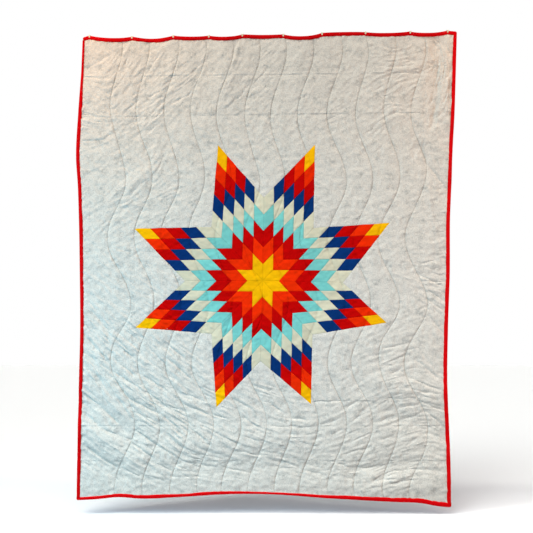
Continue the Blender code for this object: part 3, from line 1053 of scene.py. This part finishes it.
def cotton(name, colour, shade, printed):
    """Woven cotton: dye unevenness, tone, print if it has one, painted seam shade, weave bump."""
    material, tree, shader = new_material(name)
    uv_map = tree.nodes.new("ShaderNodeUVMap")
    uv_map.uv_map = "flat"
    uv = uv_map.outputs["UV"]
    weave = tree.nodes.new("ShaderNodeGroup")
    weave.node_tree = WEAVE
    link(tree, uv, weave.inputs["Vector"])
    dark = tuple(c * (1 - shade) for c in colour)
    light = tuple(min(c * (1 + shade), BRIGHTEST) for c in colour)
    unevenness, tone = weave.outputs["Unevenness"], attribute(tree, "tone")
    base = mix_colour(tree, math_node(tree, "ADD", unevenness, tone, clamp=True), dark, light)
    if printed:
        base = printed_colour(tree, uv, base)
    # Painted shade: darker along the stitch lines and the patch seams, for the shade in their
    # valleys
    base = mix_colour(tree, attribute(tree, "painted_shade"), base, PAINTED_SHADE_COLOUR, "MULTIPLY")
    link(tree, base, shader.inputs["Base Color"])
    normal = bump_normal(tree, weave.outputs["Height"], WEAVE_BUMP, WEAVE_STRENGTH)
    link(tree, normal, shader.inputs["Normal"])
    fuzz = noise_node(tree, uv, FUZZ_SCALE, detail=1)
    lowest = CLOTH_ROUGHNESS - FUZZ_SPREAD / 2
    rough = math_node(tree, "MULTIPLY_ADD", fuzz, FUZZ_SPREAD, lowest)
    link(tree, rough, shader.inputs["Roughness"])
    shader.inputs["Specular IOR Level"].default_value = CLOTH_GLOSS
    return material


CLOTH_COLOURS = {
    "ground": (0.719, 0.702, 0.648),
    "yellow": (0.880, 0.455, 0.002),
    "orange": (0.800, 0.024, 0.001),
    "red": (0.505, 0.001, 0.001),
    "turquoise": (0.180, 0.560, 0.530),
    "cream": (0.630, 0.610, 0.460),
    "navy": (0.002, 0.030, 0.150),
    "binding": (0.620, 0.002, 0.004),
    "backing": (0.650, 0.640, 0.600),
}
PLAIN_SHADE, PRINTED_SHADE = 0.08, 0.18
MATERIALS = {}
for name, colour in CLOTH_COLOURS.items():
    printed = name == "ground"
    shade = PRINTED_SHADE if printed else PLAIN_SHADE
    MATERIALS[name] = cotton(f"{name}_cotton", colour, shade, printed)
print(len(MATERIALS), "cottons")

# %% [markdown]
# ## From grids to meshes
#
# Every cloth piece is a grid of points worked out as arrays. One helper lists the quads from the
# grid's own numbering. Another turns points and quads into a mesh: it drops the points that no
# quad uses and stores the flat place of every point as the UV map that the weave follows.

# %% Grid helpers
def quads(rows, columns):
    """Corner numbers of every cell of a grid, so that faces look towards -Y."""
    corner = np.arange(rows * columns).reshape(rows, columns)
    cells = (corner[1:, :-1], corner[1:, 1:], corner[:-1, 1:], corner[:-1, :-1])
    return np.stack(cells, axis=-1).reshape(-1, 4)


def add_object(name, data):
    """Object that puts a mesh, a light or a camera into the scene."""
    item = bpy.data.objects.new(name, data)
    bpy.context.collection.objects.link(item)
    return item


def plain_object(name, points, faces, material):
    """Smooth object from points in millimetres and a list of faces of any number of corners."""
    mesh = bpy.data.meshes.new(name)
    mesh.from_pydata((points.reshape(-1, 3) * MM).tolist(), [], faces)
    mesh.update()
    mesh.shade_smooth()
    mesh.materials.append(material)
    return add_object(name, mesh)


def mesh_object(name, points, faces, flat, material, sharp, tone=None, painted_shade=None):
    """Object from points in millimetres, faces of four corners and flat places in metres."""
    used, faces = np.unique(faces, return_inverse=True)
    faces = faces.reshape(-1, 4)
    points, flat = points[used] * MM, flat[used]
    mesh = bpy.data.meshes.new(name)
    mesh.vertices.add(len(points))
    mesh.vertices.foreach_set("co", points.astype(np.float32).ravel())
    mesh.loops.add(faces.size)
    mesh.loops.foreach_set("vertex_index", faces.astype(np.int32).ravel())
    mesh.polygons.add(len(faces))
    mesh.polygons.foreach_set("loop_start", np.arange(0, faces.size, 4, dtype=np.int32))
    mesh.update(calc_edges=True)
    layer = mesh.uv_layers.new(name="flat")
    layer.data.foreach_set("uv", flat[faces.ravel()].astype(np.float32).ravel())
    # Tone, and the painted shade of stitch lines and seams, are stored at the points for the
    # material
    for label, given in (("tone", tone), ("painted_shade", painted_shade)):
        values = np.zeros(len(points)) if given is None else given.ravel()[used]
        layer = mesh.attributes.new(label, "FLOAT", "POINT")
        layer.data.foreach_set("value", values.astype(np.float32))
    mesh.shade_smooth()
    mesh.set_sharp_from_angle(angle=np.radians(sharp))
    mesh.materials.append(material)
    mesh.validate()
    print(f"{name}: {2 * len(faces)} triangles")
    return add_object(name, mesh)


def as_points(across, down, relief):
    """Places across and down and the relief as X, Y and Z in millimetres."""
    return np.stack([across, -relief, -down], axis=-1)


# %% [markdown]
# ## The quilt's top and its backing
#
# The ground cloth is one grid from edge to edge. Its columns follow the stitch lines, about
# 4.4 mm apart, and its rows run down the drop. Inside the star it is cut away, apart from a seam
# allowance that lies under the star's rim, as the piecer leaves it. It is made in four pieces that
# part at stitch lines, where a valley hides the joint and each piece stays a handy size.

# %% Column and row places
CELLS_PER_CHANNEL = 30
ROWS = 500
SHEET_SHARP, PATCH_SHARP, STRIP_SHARP = 26, 40, 60


def column_places(per_channel):
    """Column positions counted in anchors, with cells of about one width all over."""
    cells = [round(per_channel * s) for s in (0.13, 1.4, *[1] * (LINES - 1), 1.1, 0.13)]
    steps = [np.arange(n) / n + i for i, n in enumerate(cells)]
    return np.concatenate([*steps, [ANCHORS - 1.0]])


def sheet_grid(per_channel, rows):
    """Across, down and place of every grid point. The edges give each column's two ends."""
    places = column_places(per_channel)
    whole = np.arange(ANCHORS)
    top_x = np.interp(places, whole, anchors(np.zeros(1))[:, 0])
    hem_x = np.interp(places, whole, anchors(np.full(1, LINE_DEPTHS[2]))[:, 0])
    top, hem = top_edge(top_x) + EDGE_INSET, bottom_edge(hem_x) - EDGE_INSET
    t = np.linspace(0, 1, rows + 1)[:, None]
    down = top * (1 - t) + hem * t
    at = anchors(down.ravel()).reshape(ANCHORS, *down.shape)
    index = np.minimum(places.astype(int), ANCHORS - 2)
    part = places - index
    column = np.arange(len(places))
    low, high = at[index, :, column].T, at[index + 1, :, column].T
    return low * (1 - part) + high * part, down, np.broadcast_to(places, down.shape)


across, down, place = sheet_grid(CELLS_PER_CHANNEL, ROWS)
print("top grid", across.shape)

# %% Ground cloth
flat_points = np.stack([across, down], axis=-1)
star_seam = outline_distance(flat_points)
under_star = in_star(flat_points)
relief = front_relief(across, down, place)
relief = relief - SEAM_DIP * np.exp(-((star_seam / SEAM_REACH) ** 2))
relief = relief - np.where(under_star, np.minimum(star_seam / SEAM_REACH, 1), 0)
hidden = under_star & (star_seam > ALLOWANCE)

SPLITS = (0, 4, 7, 10, ANCHORS - 1)
GROUND_NAMES = ("ground_left", "ground_mid_left", "ground_mid_right", "ground_right")
ground = []
for name, low, high in zip(GROUND_NAMES, SPLITS, SPLITS[1:]):
    first, last = np.searchsorted(place[0], (low, high))
    part = (slice(None), slice(first, last + 1))
    faces = quads(ROWS + 1, last + 1 - first)
    faces = faces[~hidden[part].ravel()[faces].all(axis=1)]
    # Painted shade along the stitch lines, for the shade in their valleys
    painted_shade = seam_shade(across[part], down[part], place[part])
    points = as_points(across[part], down[part], relief[part]).reshape(-1, 3)
    flat = flat_points[part].reshape(-1, 2) * MM
    item = mesh_object(name, points, faces, flat, MATERIALS["ground"], SHEET_SHARP, painted_shade=painted_shade)
    ground.append(item)

# %% Backing cloth
BACK_CELLS, BACK_ROWS = 15, 250
back_across, back_down, back_place = sheet_grid(BACK_CELLS, BACK_ROWS)
back = back_relief(back_across, back_down, back_place)
back_points = as_points(back_across, back_down, back).reshape(-1, 3)
back_flat = np.stack([back_across, back_down], axis=-1).reshape(-1, 2) * MM
back_faces = quads(*back_across.shape)[:, ::-1]
# Painted shade along the stitch lines of the back
back_painted_shade = seam_shade(back_across, back_down, back_place)
backing = mesh_object(
    "backing", back_points, back_faces, back_flat, MATERIALS["backing"], SHEET_SHARP, painted_shade=back_painted_shade
)

# %% [markdown]
# ## The patches
#
# Each patch is a small grid of its own. Its surface lies on the quilt's front and dips into the
# seam along all four edges, and along two of them stands a low step: the seam allowance, which is
# pressed to one side and shows through the cloth. The six cottons were cut from different places
# of the bolt, so every patch has a slightly different tone.

# %% Star patches
PATCH_CELLS = 16
STEP_HEIGHT, STEP_WIDTH, STEP_SOFTNESS = 0.45, 6.5, 0.7
PATCH_LIFT = 0.12
TONE_SPREAD = 0.35
# Painted shade along each patch's seams, for the shade in the seam's dip: how dark, and its half
# width in mm
PIECING_SHADE, PIECING_WIDTH = 0.34, 1.6
ACUTE_SINE = np.sin(np.radians(45))


def patch(arm, i, j):
    """One diamond, row j and step i of a large one: places, lift, flat places, painted seam shade.
    """
    t = np.linspace(0, 1, PATCH_CELLS + 1)
    a, b = np.meshgrid(t, t)
    place_2d = in_arm(arm, (i + a) / PATCHES, (j + b) / PATCHES)
    x, d = place_2d[..., 0], place_2d[..., 1]
    edge_a = np.minimum(a, 1 - a) * SIDE_LENGTH * ACUTE_SINE
    edge_b = np.minimum(b, 1 - b) * SIDE_LENGTH * ACUTE_SINE
    seam = np.minimum(edge_a, edge_b)
    lift = -SEAM_DIP * np.exp(-((seam / SEAM_REACH) ** 2)) + PATCH_LIFT
    for side in (a, b):
        from_side = side * SIDE_LENGTH * ACUTE_SINE
        lift = lift + STEP_HEIGHT / (1 + np.exp((from_side - STEP_WIDTH) / STEP_SOFTNESS))
    flat = np.stack([(a + b * ACUTE_SINE) * SIDE_LENGTH, b * SIDE_LENGTH * ACUTE_SINE], axis=-1)
    return x, d, lift, flat, PIECING_SHADE * np.exp(-((seam / PIECING_WIDTH) ** 2))


def star_cloth(colour):
    """All the patches of one cotton in one mesh."""
    rng = np.random.default_rng(len(colour))
    found = []
    for arm in range(len(NOTCHES)):
        for i in range(PATCHES):
            for j in range(PATCHES):
                if RANK_CLOTH[i + j] == colour:
                    found.append(patch(arm, i, j))
    x, d, lift, flat, shade = (np.stack(values) for values in zip(*found))
    place = anchor_place(x.ravel(), d.ravel())
    relief = front_relief(x.ravel(), d.ravel(), place) + lift.ravel()
    # Painted shade along the stitch lines and along the patch seams
    painted_shade = seam_shade(x.ravel(), d.ravel(), place) + shade.ravel()
    points = as_points(x.ravel(), d.ravel(), relief)
    size = PATCH_CELLS + 1
    cells = quads(size, size)[:, ::-1]
    faces = (cells[None] + np.arange(len(found))[:, None, None] * size**2).reshape(-1, 4)
    shift = rng.uniform(0, 1, (len(found), 1, 1, 2))
    tone = np.repeat(rng.uniform(-TONE_SPREAD, TONE_SPREAD, len(found)), size**2)
    flat = (flat * MM + shift).reshape(-1, 2)
    cloth = MATERIALS[colour]
    item = mesh_object(f"star_{colour}", points, faces, flat, cloth, PATCH_SHARP, tone, painted_shade)
    return item, len(found)


star = {}
for colour in dict.fromkeys(RANK_CLOTH):
    star[colour], count = star_cloth(colour)
    print(colour, count, "patches")

# %% [markdown]
# ## The binding
#
# A binding is a doubled strip that is sewn to the front, rolled over the edge and sewn down
# behind. It is rounder than the quilt it wraps, because the batting fills it, and it gathers a
# little at each stitch. Its cross section is a closed roll: it rises from the cloth at the lap's
# end, bulges, turns over the edge and comes back behind. The roll is carried along each edge.

# %% Binding strips
FRONT_BULGE, BACK_BULGE = 3.0, 1.4
ROLL_FOOT, ROLL_STEPS = 1.6, 9
GATHERS, FINE_GATHERS, WANDER, CLIP_PINCH = 0.12, 0.16, 0.8, 0.55
LAP_DEPTH = BINDING_LAP - EDGE_INSET
LAPS = {
    # distance along the edge from its left or upper end, width of the strip's front
    "binding_top_cloth": ((0, 19.5),),
    "binding_left_cloth": ((0, 11), (180, 13), (300, 18.5), (1100, 18), (2250, 17.5)),
    "binding_right_cloth": ((0, 18.5), (700, 19), (2250, 20)),
    "binding_bottom_cloth": (
        (0, 15), (240, 17.5), (400, 18.5), (530, 15), (680, 17.5), (830, 12.5), (970, 10),
        (1120, 14), (1270, 17.5), (1420, 19), (1560, 21.5), (1710, 23),
    ),
}
CORNER_ROUND = 7.0
UNDER_LAP = 1.0
NEAR_EDGE, NEAR_LAP = 4, 9
STRIP_STEP = 5.0


def roll_profile():
    """Out from the middle and depth from the body's edge, round the roll from lap to lap."""
    t = np.linspace(0, 1, ROLL_STEPS)
    rise = (np.sin(np.pi * np.minimum(t / 0.5, 1) / 2)) ** 0.7
    front_out = ROLL_FOOT + (SEWN_THICKNESS / 2 + FRONT_BULGE - 0.1) * rise
    front_depth = LAP_DEPTH * (1 - t)
    turn = np.linspace(0, np.pi, ROLL_STEPS)[1:-1]
    half = SEWN_THICKNESS / 2 + EDGE_INSET
    turn_out = half * np.cos(turn) + (FRONT_BULGE - BACK_BULGE) / 2 * np.cos(turn)
    turn_depth = -EDGE_INSET * np.sin(turn) ** 0.6
    back_out = -(ROLL_FOOT + (SEWN_THICKNESS / 2 + BACK_BULGE - 0.1) * rise[::-1])
    out = np.concatenate([front_out, turn_out, back_out])
    return out, np.concatenate([front_depth, turn_depth, front_depth[::-1]])


def strip(name, edge, inward, seed, round_ends):
    """Roll carried along an edge: each station's profile stands on the quilt's own relief."""
    out, depth = roll_profile()
    step = np.hypot(*np.diff(edge, axis=0).T)
    length = np.concatenate([[0], np.cumsum(step)])
    zero = np.zeros_like(length)
    gather = 1 + FINE_GATHERS * noise(length / 9, zero, seed)
    gather += GATHERS * noise(length / 26, zero, seed + 1)
    wander = WANDER * noise(length / 55, zero, seed + 2)
    held = np.abs(edge[:, :1] - TOP_EDGE[1:-1, 0]).min(axis=1)
    pinch = 1 - CLIP_PINCH * np.exp(-((held / 9) ** 2)) if name == "binding_top_cloth" else 1
    ends = np.minimum(length, length[-1] - length)
    inset = zero
    if round_ends:
        short = np.clip(1 - ends / CORNER_ROUND, 0, 1)
        inset = CORNER_ROUND * (1 - np.sqrt(1 - short**2)) * 0.7
    thick = np.abs(out)[None] + (np.abs(out)[None] - ROLL_FOOT) * (gather * pinch - 1)[:, None]
    thick = thick * (1 - 0.5 * (inset / CORNER_ROUND))[:, None]
    stations, widths = np.array(LAPS[name], float).T
    lap = (np.interp(length, stations, widths) - EDGE_INSET) / LAP_DEPTH
    reach = np.where(depth > 0, depth[None] * lap[:, None], depth[None])
    reach = reach + inset[:, None] * (depth < NEAR_EDGE) + wander[:, None] * (depth > NEAR_LAP)
    place_2d = edge[:, None] + reach[..., None] * inward[:, None]
    base = broad_relief(place_2d[..., 0], place_2d[..., 1])
    relief = base + np.sign(out)[None] * thick
    points = as_points(place_2d[..., 0], place_2d[..., 1], relief)
    stations, around = relief.shape
    girth = np.concatenate([[0], np.cumsum(np.hypot(np.diff(out), np.diff(depth)))])
    flat = np.stack(np.broadcast_arrays(length[:, None], girth[None]), axis=-1) * MM
    faces = quads(stations, around)
    points, flat = points.reshape(-1, 3), flat.reshape(-1, 2)
    return mesh_object(name, points, faces, flat, MATERIALS["binding"], STRIP_SHARP)


def resampled(points, step):
    """Points at even steps along a line, and the line's direction at each of them."""
    length = np.concatenate([[0], np.cumsum(np.hypot(*np.diff(points, axis=0).T))])
    at = np.linspace(0, length[-1], round(length[-1] / step) + 1)
    line = np.stack([np.interp(at, length, points[:, k]) for k in (0, 1)], axis=-1)
    along = np.gradient(line, axis=0)
    along /= np.hypot(*along.T)[:, None]
    return line, along


def extended(points, reach):
    """Line with both its ends moved outwards."""
    first = points[0] + (points[0] - points[1]) / np.hypot(*(points[0] - points[1])) * reach
    last = points[-1] + (points[-1] - points[-2]) / np.hypot(*(points[-1] - points[-2])) * reach
    return np.concatenate([[first], points[1:-1], [last]])


EDGES = {
    # edge points, which way is inwards, whether the ends are rounded
    "binding_top_cloth": (flat_points[0], (0, 1), True),
    "binding_bottom_cloth": (flat_points[-1], (0, -1), True),
    "binding_left_cloth": (flat_points[:, 0], (1, 0), False),
    "binding_right_cloth": (flat_points[:, -1], (-1, 0), False),
}
bindings = {}
for seed, (name, (points, way, rounded)) in enumerate(EDGES.items()):
    if rounded:
        line, along = resampled(extended(points, EDGE_INSET), STRIP_STEP)
    else:
        t = np.linspace(0, 1, len(points))
        cut = (LAP_DEPTH - UNDER_LAP) / (points[-1, 1] - points[0, 1])
        keep = (t >= cut) & (t <= 1 - cut)
        line, along = resampled(points[keep], STRIP_STEP)
    normal = np.stack([-along[:, 1], along[:, 0]], axis=-1)
    normal *= np.sign((normal * way).sum(axis=1))[:, None]
    bindings[name] = strip(name, line, normal, 100 + 10 * seed, rounded)

# %% [markdown]
# ## The thread
#
# The quilting is sewn with clear monofilament, because no thread shows on the navy or the red,
# only the valley that it pulls. A stitch is about 3 mm of thread that dives at both ends, so each
# is a short closed spindle with a ring of four points near either end. The 7600 or so of the front
# are worked out in one go and joined in one mesh, and so are those of the back.

# %% Stitches
STITCH_PITCH, STITCH_LENGTH, THREAD = 3.6, 2.9, 0.24
RING_PLACE, TIP_SINK, CLEAR_OF_BINDING = 0.62, 0.3, 2
STITCHES_START, STITCHES_END, LINE_SAMPLES = 40, 2230.0, 2000
THREAD_GREY, THREAD_SHARE = (0.10, 0.10, 0.10), 0.45


def spindles(name, centres, along, out, material):
    """Closed spindles: tips at both ends, sunk a little, and two rings of four between them."""
    side = np.cross(along, out)
    half = STITCH_LENGTH / 2
    turn = (np.arange(4) * np.pi / 2)[None, :, None]
    ring = THREAD * (np.cos(turn) * out[:, None] + np.sin(turn) * side[:, None])
    rings = [centres[:, None] + s * RING_PLACE * half * along[:, None] + ring for s in (-1, 1)]
    tips = [(centres + s * half * along - TIP_SINK * out)[:, None] for s in (-1, 1)]
    points = np.concatenate([tips[0], rings[0], rings[1], tips[1]], axis=1)
    k = np.arange(4)
    after = (k + 1) % 4
    start = np.stack([np.zeros(4, int), 1 + after, 1 + k, 1 + k], axis=1)
    middle = np.stack([1 + k, 1 + after, 5 + after, 5 + k], axis=1)
    end = np.stack([5 + k, 5 + after, np.full(4, 9), np.full(4, 9)], axis=1)
    count = len(centres)
    offsets = np.arange(count)[:, None, None] * 10
    sides = (middle[None] + offsets).reshape(-1, 4)
    caps = (np.concatenate([start[:, :3], end[:, :3]])[None] + offsets).reshape(-1, 3)
    print(f"{name}: {count} stitches, {count * 16} triangles")
    return plain_object(name, points, sides.tolist() + caps.tolist(), material)


def line_stitches(index, relief_of, facing):
    """Centres, directions and outward directions of the stitches of one line."""
    fine = np.linspace(flat_points[0, 0, 1] + STITCHES_START, STITCHES_END, LINE_SAMPLES)
    line = np.stack([stitch_line(index, fine), fine], axis=-1)
    line, along = resampled(line, STITCH_PITCH)
    x, d = line.T
    margin = BINDING_LAP + CLEAR_OF_BINDING
    keep = (d > top_edge(x) + margin) & (d < bottom_edge(x) - margin)
    x, d, along = x[keep], d[keep], along[keep]
    relief = relief_of(x, d, np.full(len(x), float(index + FIRST_LINE)))
    centres = as_points(x, d, relief + facing * THREAD * 0.7)
    direction = np.gradient(as_points(x, d, relief), axis=0)
    direction /= np.linalg.norm(direction, axis=1)[:, None]
    out = np.tile((0.0, -facing, 0.0), (len(x), 1))
    out -= (out * direction).sum(axis=1)[:, None] * direction
    return centres, direction, out / np.linalg.norm(out, axis=1)[:, None]


def thread_material():
    """Clear smooth thread whose grey varies a little from stitch to stitch."""
    material, tree, shader = new_material("clear_thread")
    place_node = tree.nodes.new("ShaderNodeTexCoord")
    n = noise_node(tree, place_node.outputs["Object"], scale=160, detail=1)
    dark = tuple(c * 0.8 for c in THREAD_GREY)
    link(tree, mix_colour(tree, n, dark, THREAD_GREY), shader.inputs["Base Color"])
    shader.inputs["Roughness"].default_value = 0.5
    shader.inputs["Alpha"].default_value = THREAD_SHARE
    return material


CLEAR_THREAD = thread_material()
threads = {}
for name, relief_of, facing in (
    ("quilting_thread_front", front_relief, 1),
    ("quilting_thread_back", back_relief, -1),
):
    rows = [line_stitches(i, relief_of, facing) for i in range(LINES)]
    centres, direction, out = (np.concatenate(v) for v in zip(*rows))
    threads[name] = spindles(name, centres, direction, out, CLEAR_THREAD)

# %% [markdown]
# ## The clips
#
# Only the tips of the clips show: small cream wedges astride the binding. Each stands where its
# solid stands. Its path is an upside-down U, straight legs joined by two quarter turns, and its
# section is a rounded bar that narrows from the head to the tips.

# %% Clips
DARK_CREAM, LIGHT_CREAM = (0.62, 0.55, 0.38), (0.80, 0.75, 0.58)


def clip_cream():
    """Moulded plastic, unevenly yellowed, with a fine grain."""
    material, tree, shader = new_material("clip_cream")
    place_node = tree.nodes.new("ShaderNodeTexCoord")
    n = noise_node(tree, place_node.outputs["Object"], scale=220, detail=3, roughness=0.6)
    link(tree, mix_colour(tree, n, DARK_CREAM, LIGHT_CREAM), shader.inputs["Base Color"])
    grain = noise_node(tree, place_node.outputs["Object"], scale=2500)
    link(tree, bump_normal(tree, grain, distance=0.00006, strength=1.0), shader.inputs["Normal"])
    rough = math_node(tree, "MULTIPLY_ADD", n, 0.2, 0.32)
    link(tree, rough, shader.inputs["Roughness"])
    return material


CLIP_CREAM = clip_cream()
LEG_THICKNESS, TIP_WIDTH_SHARE = 1.6, 0.6
LEG_STEPS, BEND_STEPS, SECTION_STEPS = 10, 6, 16
BEND_RADIUS = 2.2


def clip_shell(node):
    """Rounded bar carried along an upside-down U that fills the clip's solid."""
    low, high = (np.array(c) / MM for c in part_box(node))
    middle = (low[0] + high[0]) / 2
    half_depth = (high[1] - low[1]) / 2 - LEG_THICKNESS / 2
    centre_y = (low[1] + high[1]) / 2
    head = high[2] - LEG_THICKNESS / 2
    bend = min(BEND_RADIUS, half_depth)
    leg = np.linspace(0, 1, LEG_STEPS, endpoint=False)
    turn = np.linspace(0, np.pi / 2, BEND_STEPS)
    y_front = -half_depth + bend * (1 - np.cos(turn))
    z_front = head - bend + bend * np.sin(turn)
    y_leg = np.full(LEG_STEPS, half_depth)
    y = np.concatenate([-y_leg, y_front, -y_front[::-1], y_leg])
    rise = low[2] + (head - bend - low[2]) * leg
    z = np.concatenate([rise, z_front, z_front[::-1], rise[::-1]])
    along = np.gradient(np.stack([y, z], axis=-1), axis=0)
    along /= np.hypot(*along.T)[:, None]
    normal = np.stack([-along[:, 1], along[:, 0]], axis=-1)
    grow = np.clip((z - low[2]) / (high[2] - low[2]), 0, 1) ** 0.7
    width = (high[0] - low[0]) / 2 * (TIP_WIDTH_SHARE + (1 - TIP_WIDTH_SHARE) * grow)
    fade = np.ones(len(y))
    fade[[0, -1]] = 0.35
    fade[[1, -2]] = 0.9
    angle = np.linspace(0, 2 * np.pi, SECTION_STEPS, endpoint=False)
    bar_x = np.sign(np.cos(angle)) * np.abs(np.cos(angle)) ** 0.5
    bar_n = np.sign(np.sin(angle)) * np.abs(np.sin(angle)) ** 0.5
    out = bar_n[None] * (LEG_THICKNESS / 2 * fade)[:, None]
    points = np.empty((len(y), SECTION_STEPS, 3))
    points[..., 0] = middle + bar_x[None] * (width * fade)[:, None]
    points[..., 1] = centre_y + y[:, None] + out * normal[:, :1]
    points[..., 2] = z[:, None] + out * normal[:, 1:]
    ring = np.arange(len(y) * SECTION_STEPS).reshape(len(y), SECTION_STEPS)
    near, far = ring[:-1], ring[1:]
    faces = np.stack([near, np.roll(near, -1, 1), np.roll(far, -1, 1), far], axis=-1)
    ends = [ring[0][::-1].tolist(), ring[-1].tolist()]
    return plain_object(f"{node}_shell", points, faces.reshape(-1, 4).tolist() + ends, CLIP_CREAM)


clips = {node: clip_shell(node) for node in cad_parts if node.startswith("clip_")}
print(len(clips), "clips")

# %% [markdown]
# ## What stands for what
#
# The ground, the patches and the backing stand for the padded body, each strip for its own
# binding, and each shell for its clip. Nothing moves, so all of it rides on the one body. The flat
# sizes are those that a maker would cut.

# %% Pieces and their solids
cloth = (*ground, *star.values(), backing)
for piece in (*cloth, *bindings.values(), *threads.values(), *clips.values()):
    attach(piece, "root")
for piece in cloth:
    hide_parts("quilt_body")
for name, piece in bindings.items():
    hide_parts(name.replace("_cloth", ""))
for node, piece in clips.items():
    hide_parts(node)

# %% Sheets
QUILT_LENGTH = 2.286


def cut_area(item):
    """Area of a piece's own faces, in square metres."""
    areas = np.empty(len(item.data.polygons))
    item.data.polygons.foreach_get("area", areas)
    return float(areas.sum())


def cut_width(item):
    """Distance across from a piece's leftmost point to its rightmost, in metres."""
    places = np.empty(3 * len(item.data.vertices))
    item.data.vertices.foreach_get("co", places)
    return float(np.ptp(places[::3]))


for piece in ground:
    width = cut_width(piece)
    area = min(cut_area(piece), width * QUILT_LENGTH)
for colour, piece in star.items():
    steps = [i + j for i in range(PATCHES) for j in range(PATCHES)]
    count = len(NOTCHES) * sum(RANK_CLOTH[step] == colour for step in steps)

# %% [markdown]
# ## Camera, floor and light
#
# The camera looks straight at the quilt, and at its plane the picture is 2.61 m wide. Wrinkles only
# show when light crosses them, so two narrow suns rake the cloth, one from either side, because a
# crease that runs along with one light is drawn by the other. Wide suns in front fill the rest, and
# one behind keeps the floor bright. Area lights near the cloth, warm at the top corners and the
# right, cool at the left and low down, give the white the uneven cast of a room. The floor lies
# just below the hem, where it catches the soft shadow. Only the camera sees it white: other rays
# meet a darker paint, or the floor would light the quilt from below.

# %% Camera
PICTURE_WIDTH = 2.606
PICTURE_MIDDLE = -1.132
CAMERA_DISTANCE = 6.0
SENSOR_WIDTH = 36
camera_data = bpy.data.cameras.new("camera")
camera_data.sensor_width = SENSOR_WIDTH
camera_data.lens = SENSOR_WIDTH * CAMERA_DISTANCE / PICTURE_WIDTH
camera = add_object("camera", camera_data)
camera.location = (0, -CAMERA_DISTANCE, PICTURE_MIDDLE)
camera.rotation_euler = (np.pi / 2, 0, 0)
bpy.context.scene.camera = camera
bpy.context.scene.view_settings.view_transform = "Standard"
print("lens", round(camera_data.lens, 1), "mm")

# %% Floor and surroundings
FLOOR_LEVEL, FLOOR_REACH = -2.345, 9
mesh = bpy.data.meshes.new("floor")
sides = (-FLOOR_REACH, FLOOR_REACH)
mesh.from_pydata([(x, y, FLOOR_LEVEL) for x in sides for y in sides], [], [(0, 2, 3, 1)])
floor_paint, tree, floor_shader = new_material("floor_paint")
rays = tree.nodes.new("ShaderNodeLightPath")
paint = mix_colour(tree, rays.outputs["Is Camera Ray"], (0.22, 0.22, 0.22), (0.94, 0.96, 1.0))
link(tree, paint, floor_shader.inputs["Base Color"])
glow = mix_colour(tree, rays.outputs["Is Camera Ray"], (0.0, 0.0, 0.0), (0.02, 0.02, 0.03))
link(tree, glow, floor_shader.inputs["Emission Color"])
floor_shader.inputs["Emission Strength"].default_value = 1.0
floor_shader.inputs["Roughness"].default_value = 0.9
floor_shader.inputs["Specular IOR Level"].default_value = 0.0
mesh.materials.append(floor_paint)
floor = add_object("floor", mesh)
floor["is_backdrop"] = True

world = bpy.data.worlds.new("studio")
bpy.context.scene.world = world
world.use_nodes = True
tree = world.node_tree
background = tree.nodes["Background"]
background.inputs["Color"].default_value = (1, 1, 1, 1)
rays = tree.nodes.new("ShaderNodeLightPath")
ROOM_STRENGTH = 0.12
seen = rays.outputs["Is Camera Ray"]
strength = math_node(tree, "MULTIPLY_ADD", seen, 1 - ROOM_STRENGTH, ROOM_STRENGTH)
link(tree, strength, background.inputs["Strength"])

# %% Lights
SUNS = (
    # name, direction from the quilt towards the light, strength, softness in degrees, colour
    ("key", (-0.34, -0.62, 0.70), 1.34, 30, (0.985, 0.975, 0.90)),
    ("rake_left", (-0.46, -0.30, 0.83), 0.78, 8, (1.0, 0.96, 0.86)),
    ("rake_right", (0.62, -0.30, 0.60), 0.48, 8, (1.0, 0.96, 0.90)),
    ("top", (-0.05, -0.50, 1.0), 0.82, 44, (0.985, 0.97, 0.90)),
    ("behind", (0.30, 0.95, 0.10), 1.7, 30, (1.0, 1.0, 1.0)),
)
AREA_LIGHTS = (
    # name, place, target, size in metres, watts, colour
    ("warm_left", (-1.25, -0.75, 0.35), (-0.80, 0, -0.05), 0.5, 6.4, (1.0, 0.42, 0.08)),
    ("warm_corner", (1.12, -0.36, -0.08), (0.84, 0, -0.18), 0.3, 0.62, (1.0, 0.42, 0.10)),
    ("warm_right", (1.9, -1.5, -1.05), (0.85, 0, -1.15), 1.2, 13.0, (1.0, 0.72, 0.62)),
    ("cool_left", (-2.2, -1.3, -1.5), (-0.8, 0, -1.6), 1.0, 29, (0.36, 0.77, 1.0)),
    ("cool_low", (-0.1, -1.5, -1.6), (-0.1, 0, -1.95), 1.0, 5.4, (0.46, 0.73, 1.0)),
)


def add_light(name, kind, towards, strength, colour):
    """Light that shines on what lies opposite to the direction towards it."""
    data = bpy.data.lights.new(name, kind)
    data.energy = strength
    data.color = colour
    item = add_object(name, data)
    item.rotation_mode = "QUATERNION"
    item.rotation_quaternion = Vector(towards).to_track_quat("Z", "Y")
    return item


for name, towards, strength, softness, colour in SUNS:
    sun = add_light(name, "SUN", towards, strength, colour)
    sun.data.angle = np.radians(softness)
for name, location, target, size, power, colour in AREA_LIGHTS:
    lamp = add_light(name, "AREA", Vector(location) - Vector(target), power, colour)
    lamp.data.size = size
    lamp.location = location
    lamp.visible_camera = False
print(len(SUNS), "suns,", len(AREA_LIGHTS), "area lights")

# %% Scene box
low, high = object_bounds()
print("scene box", [round(v, 3) for v in (*low, *high)])
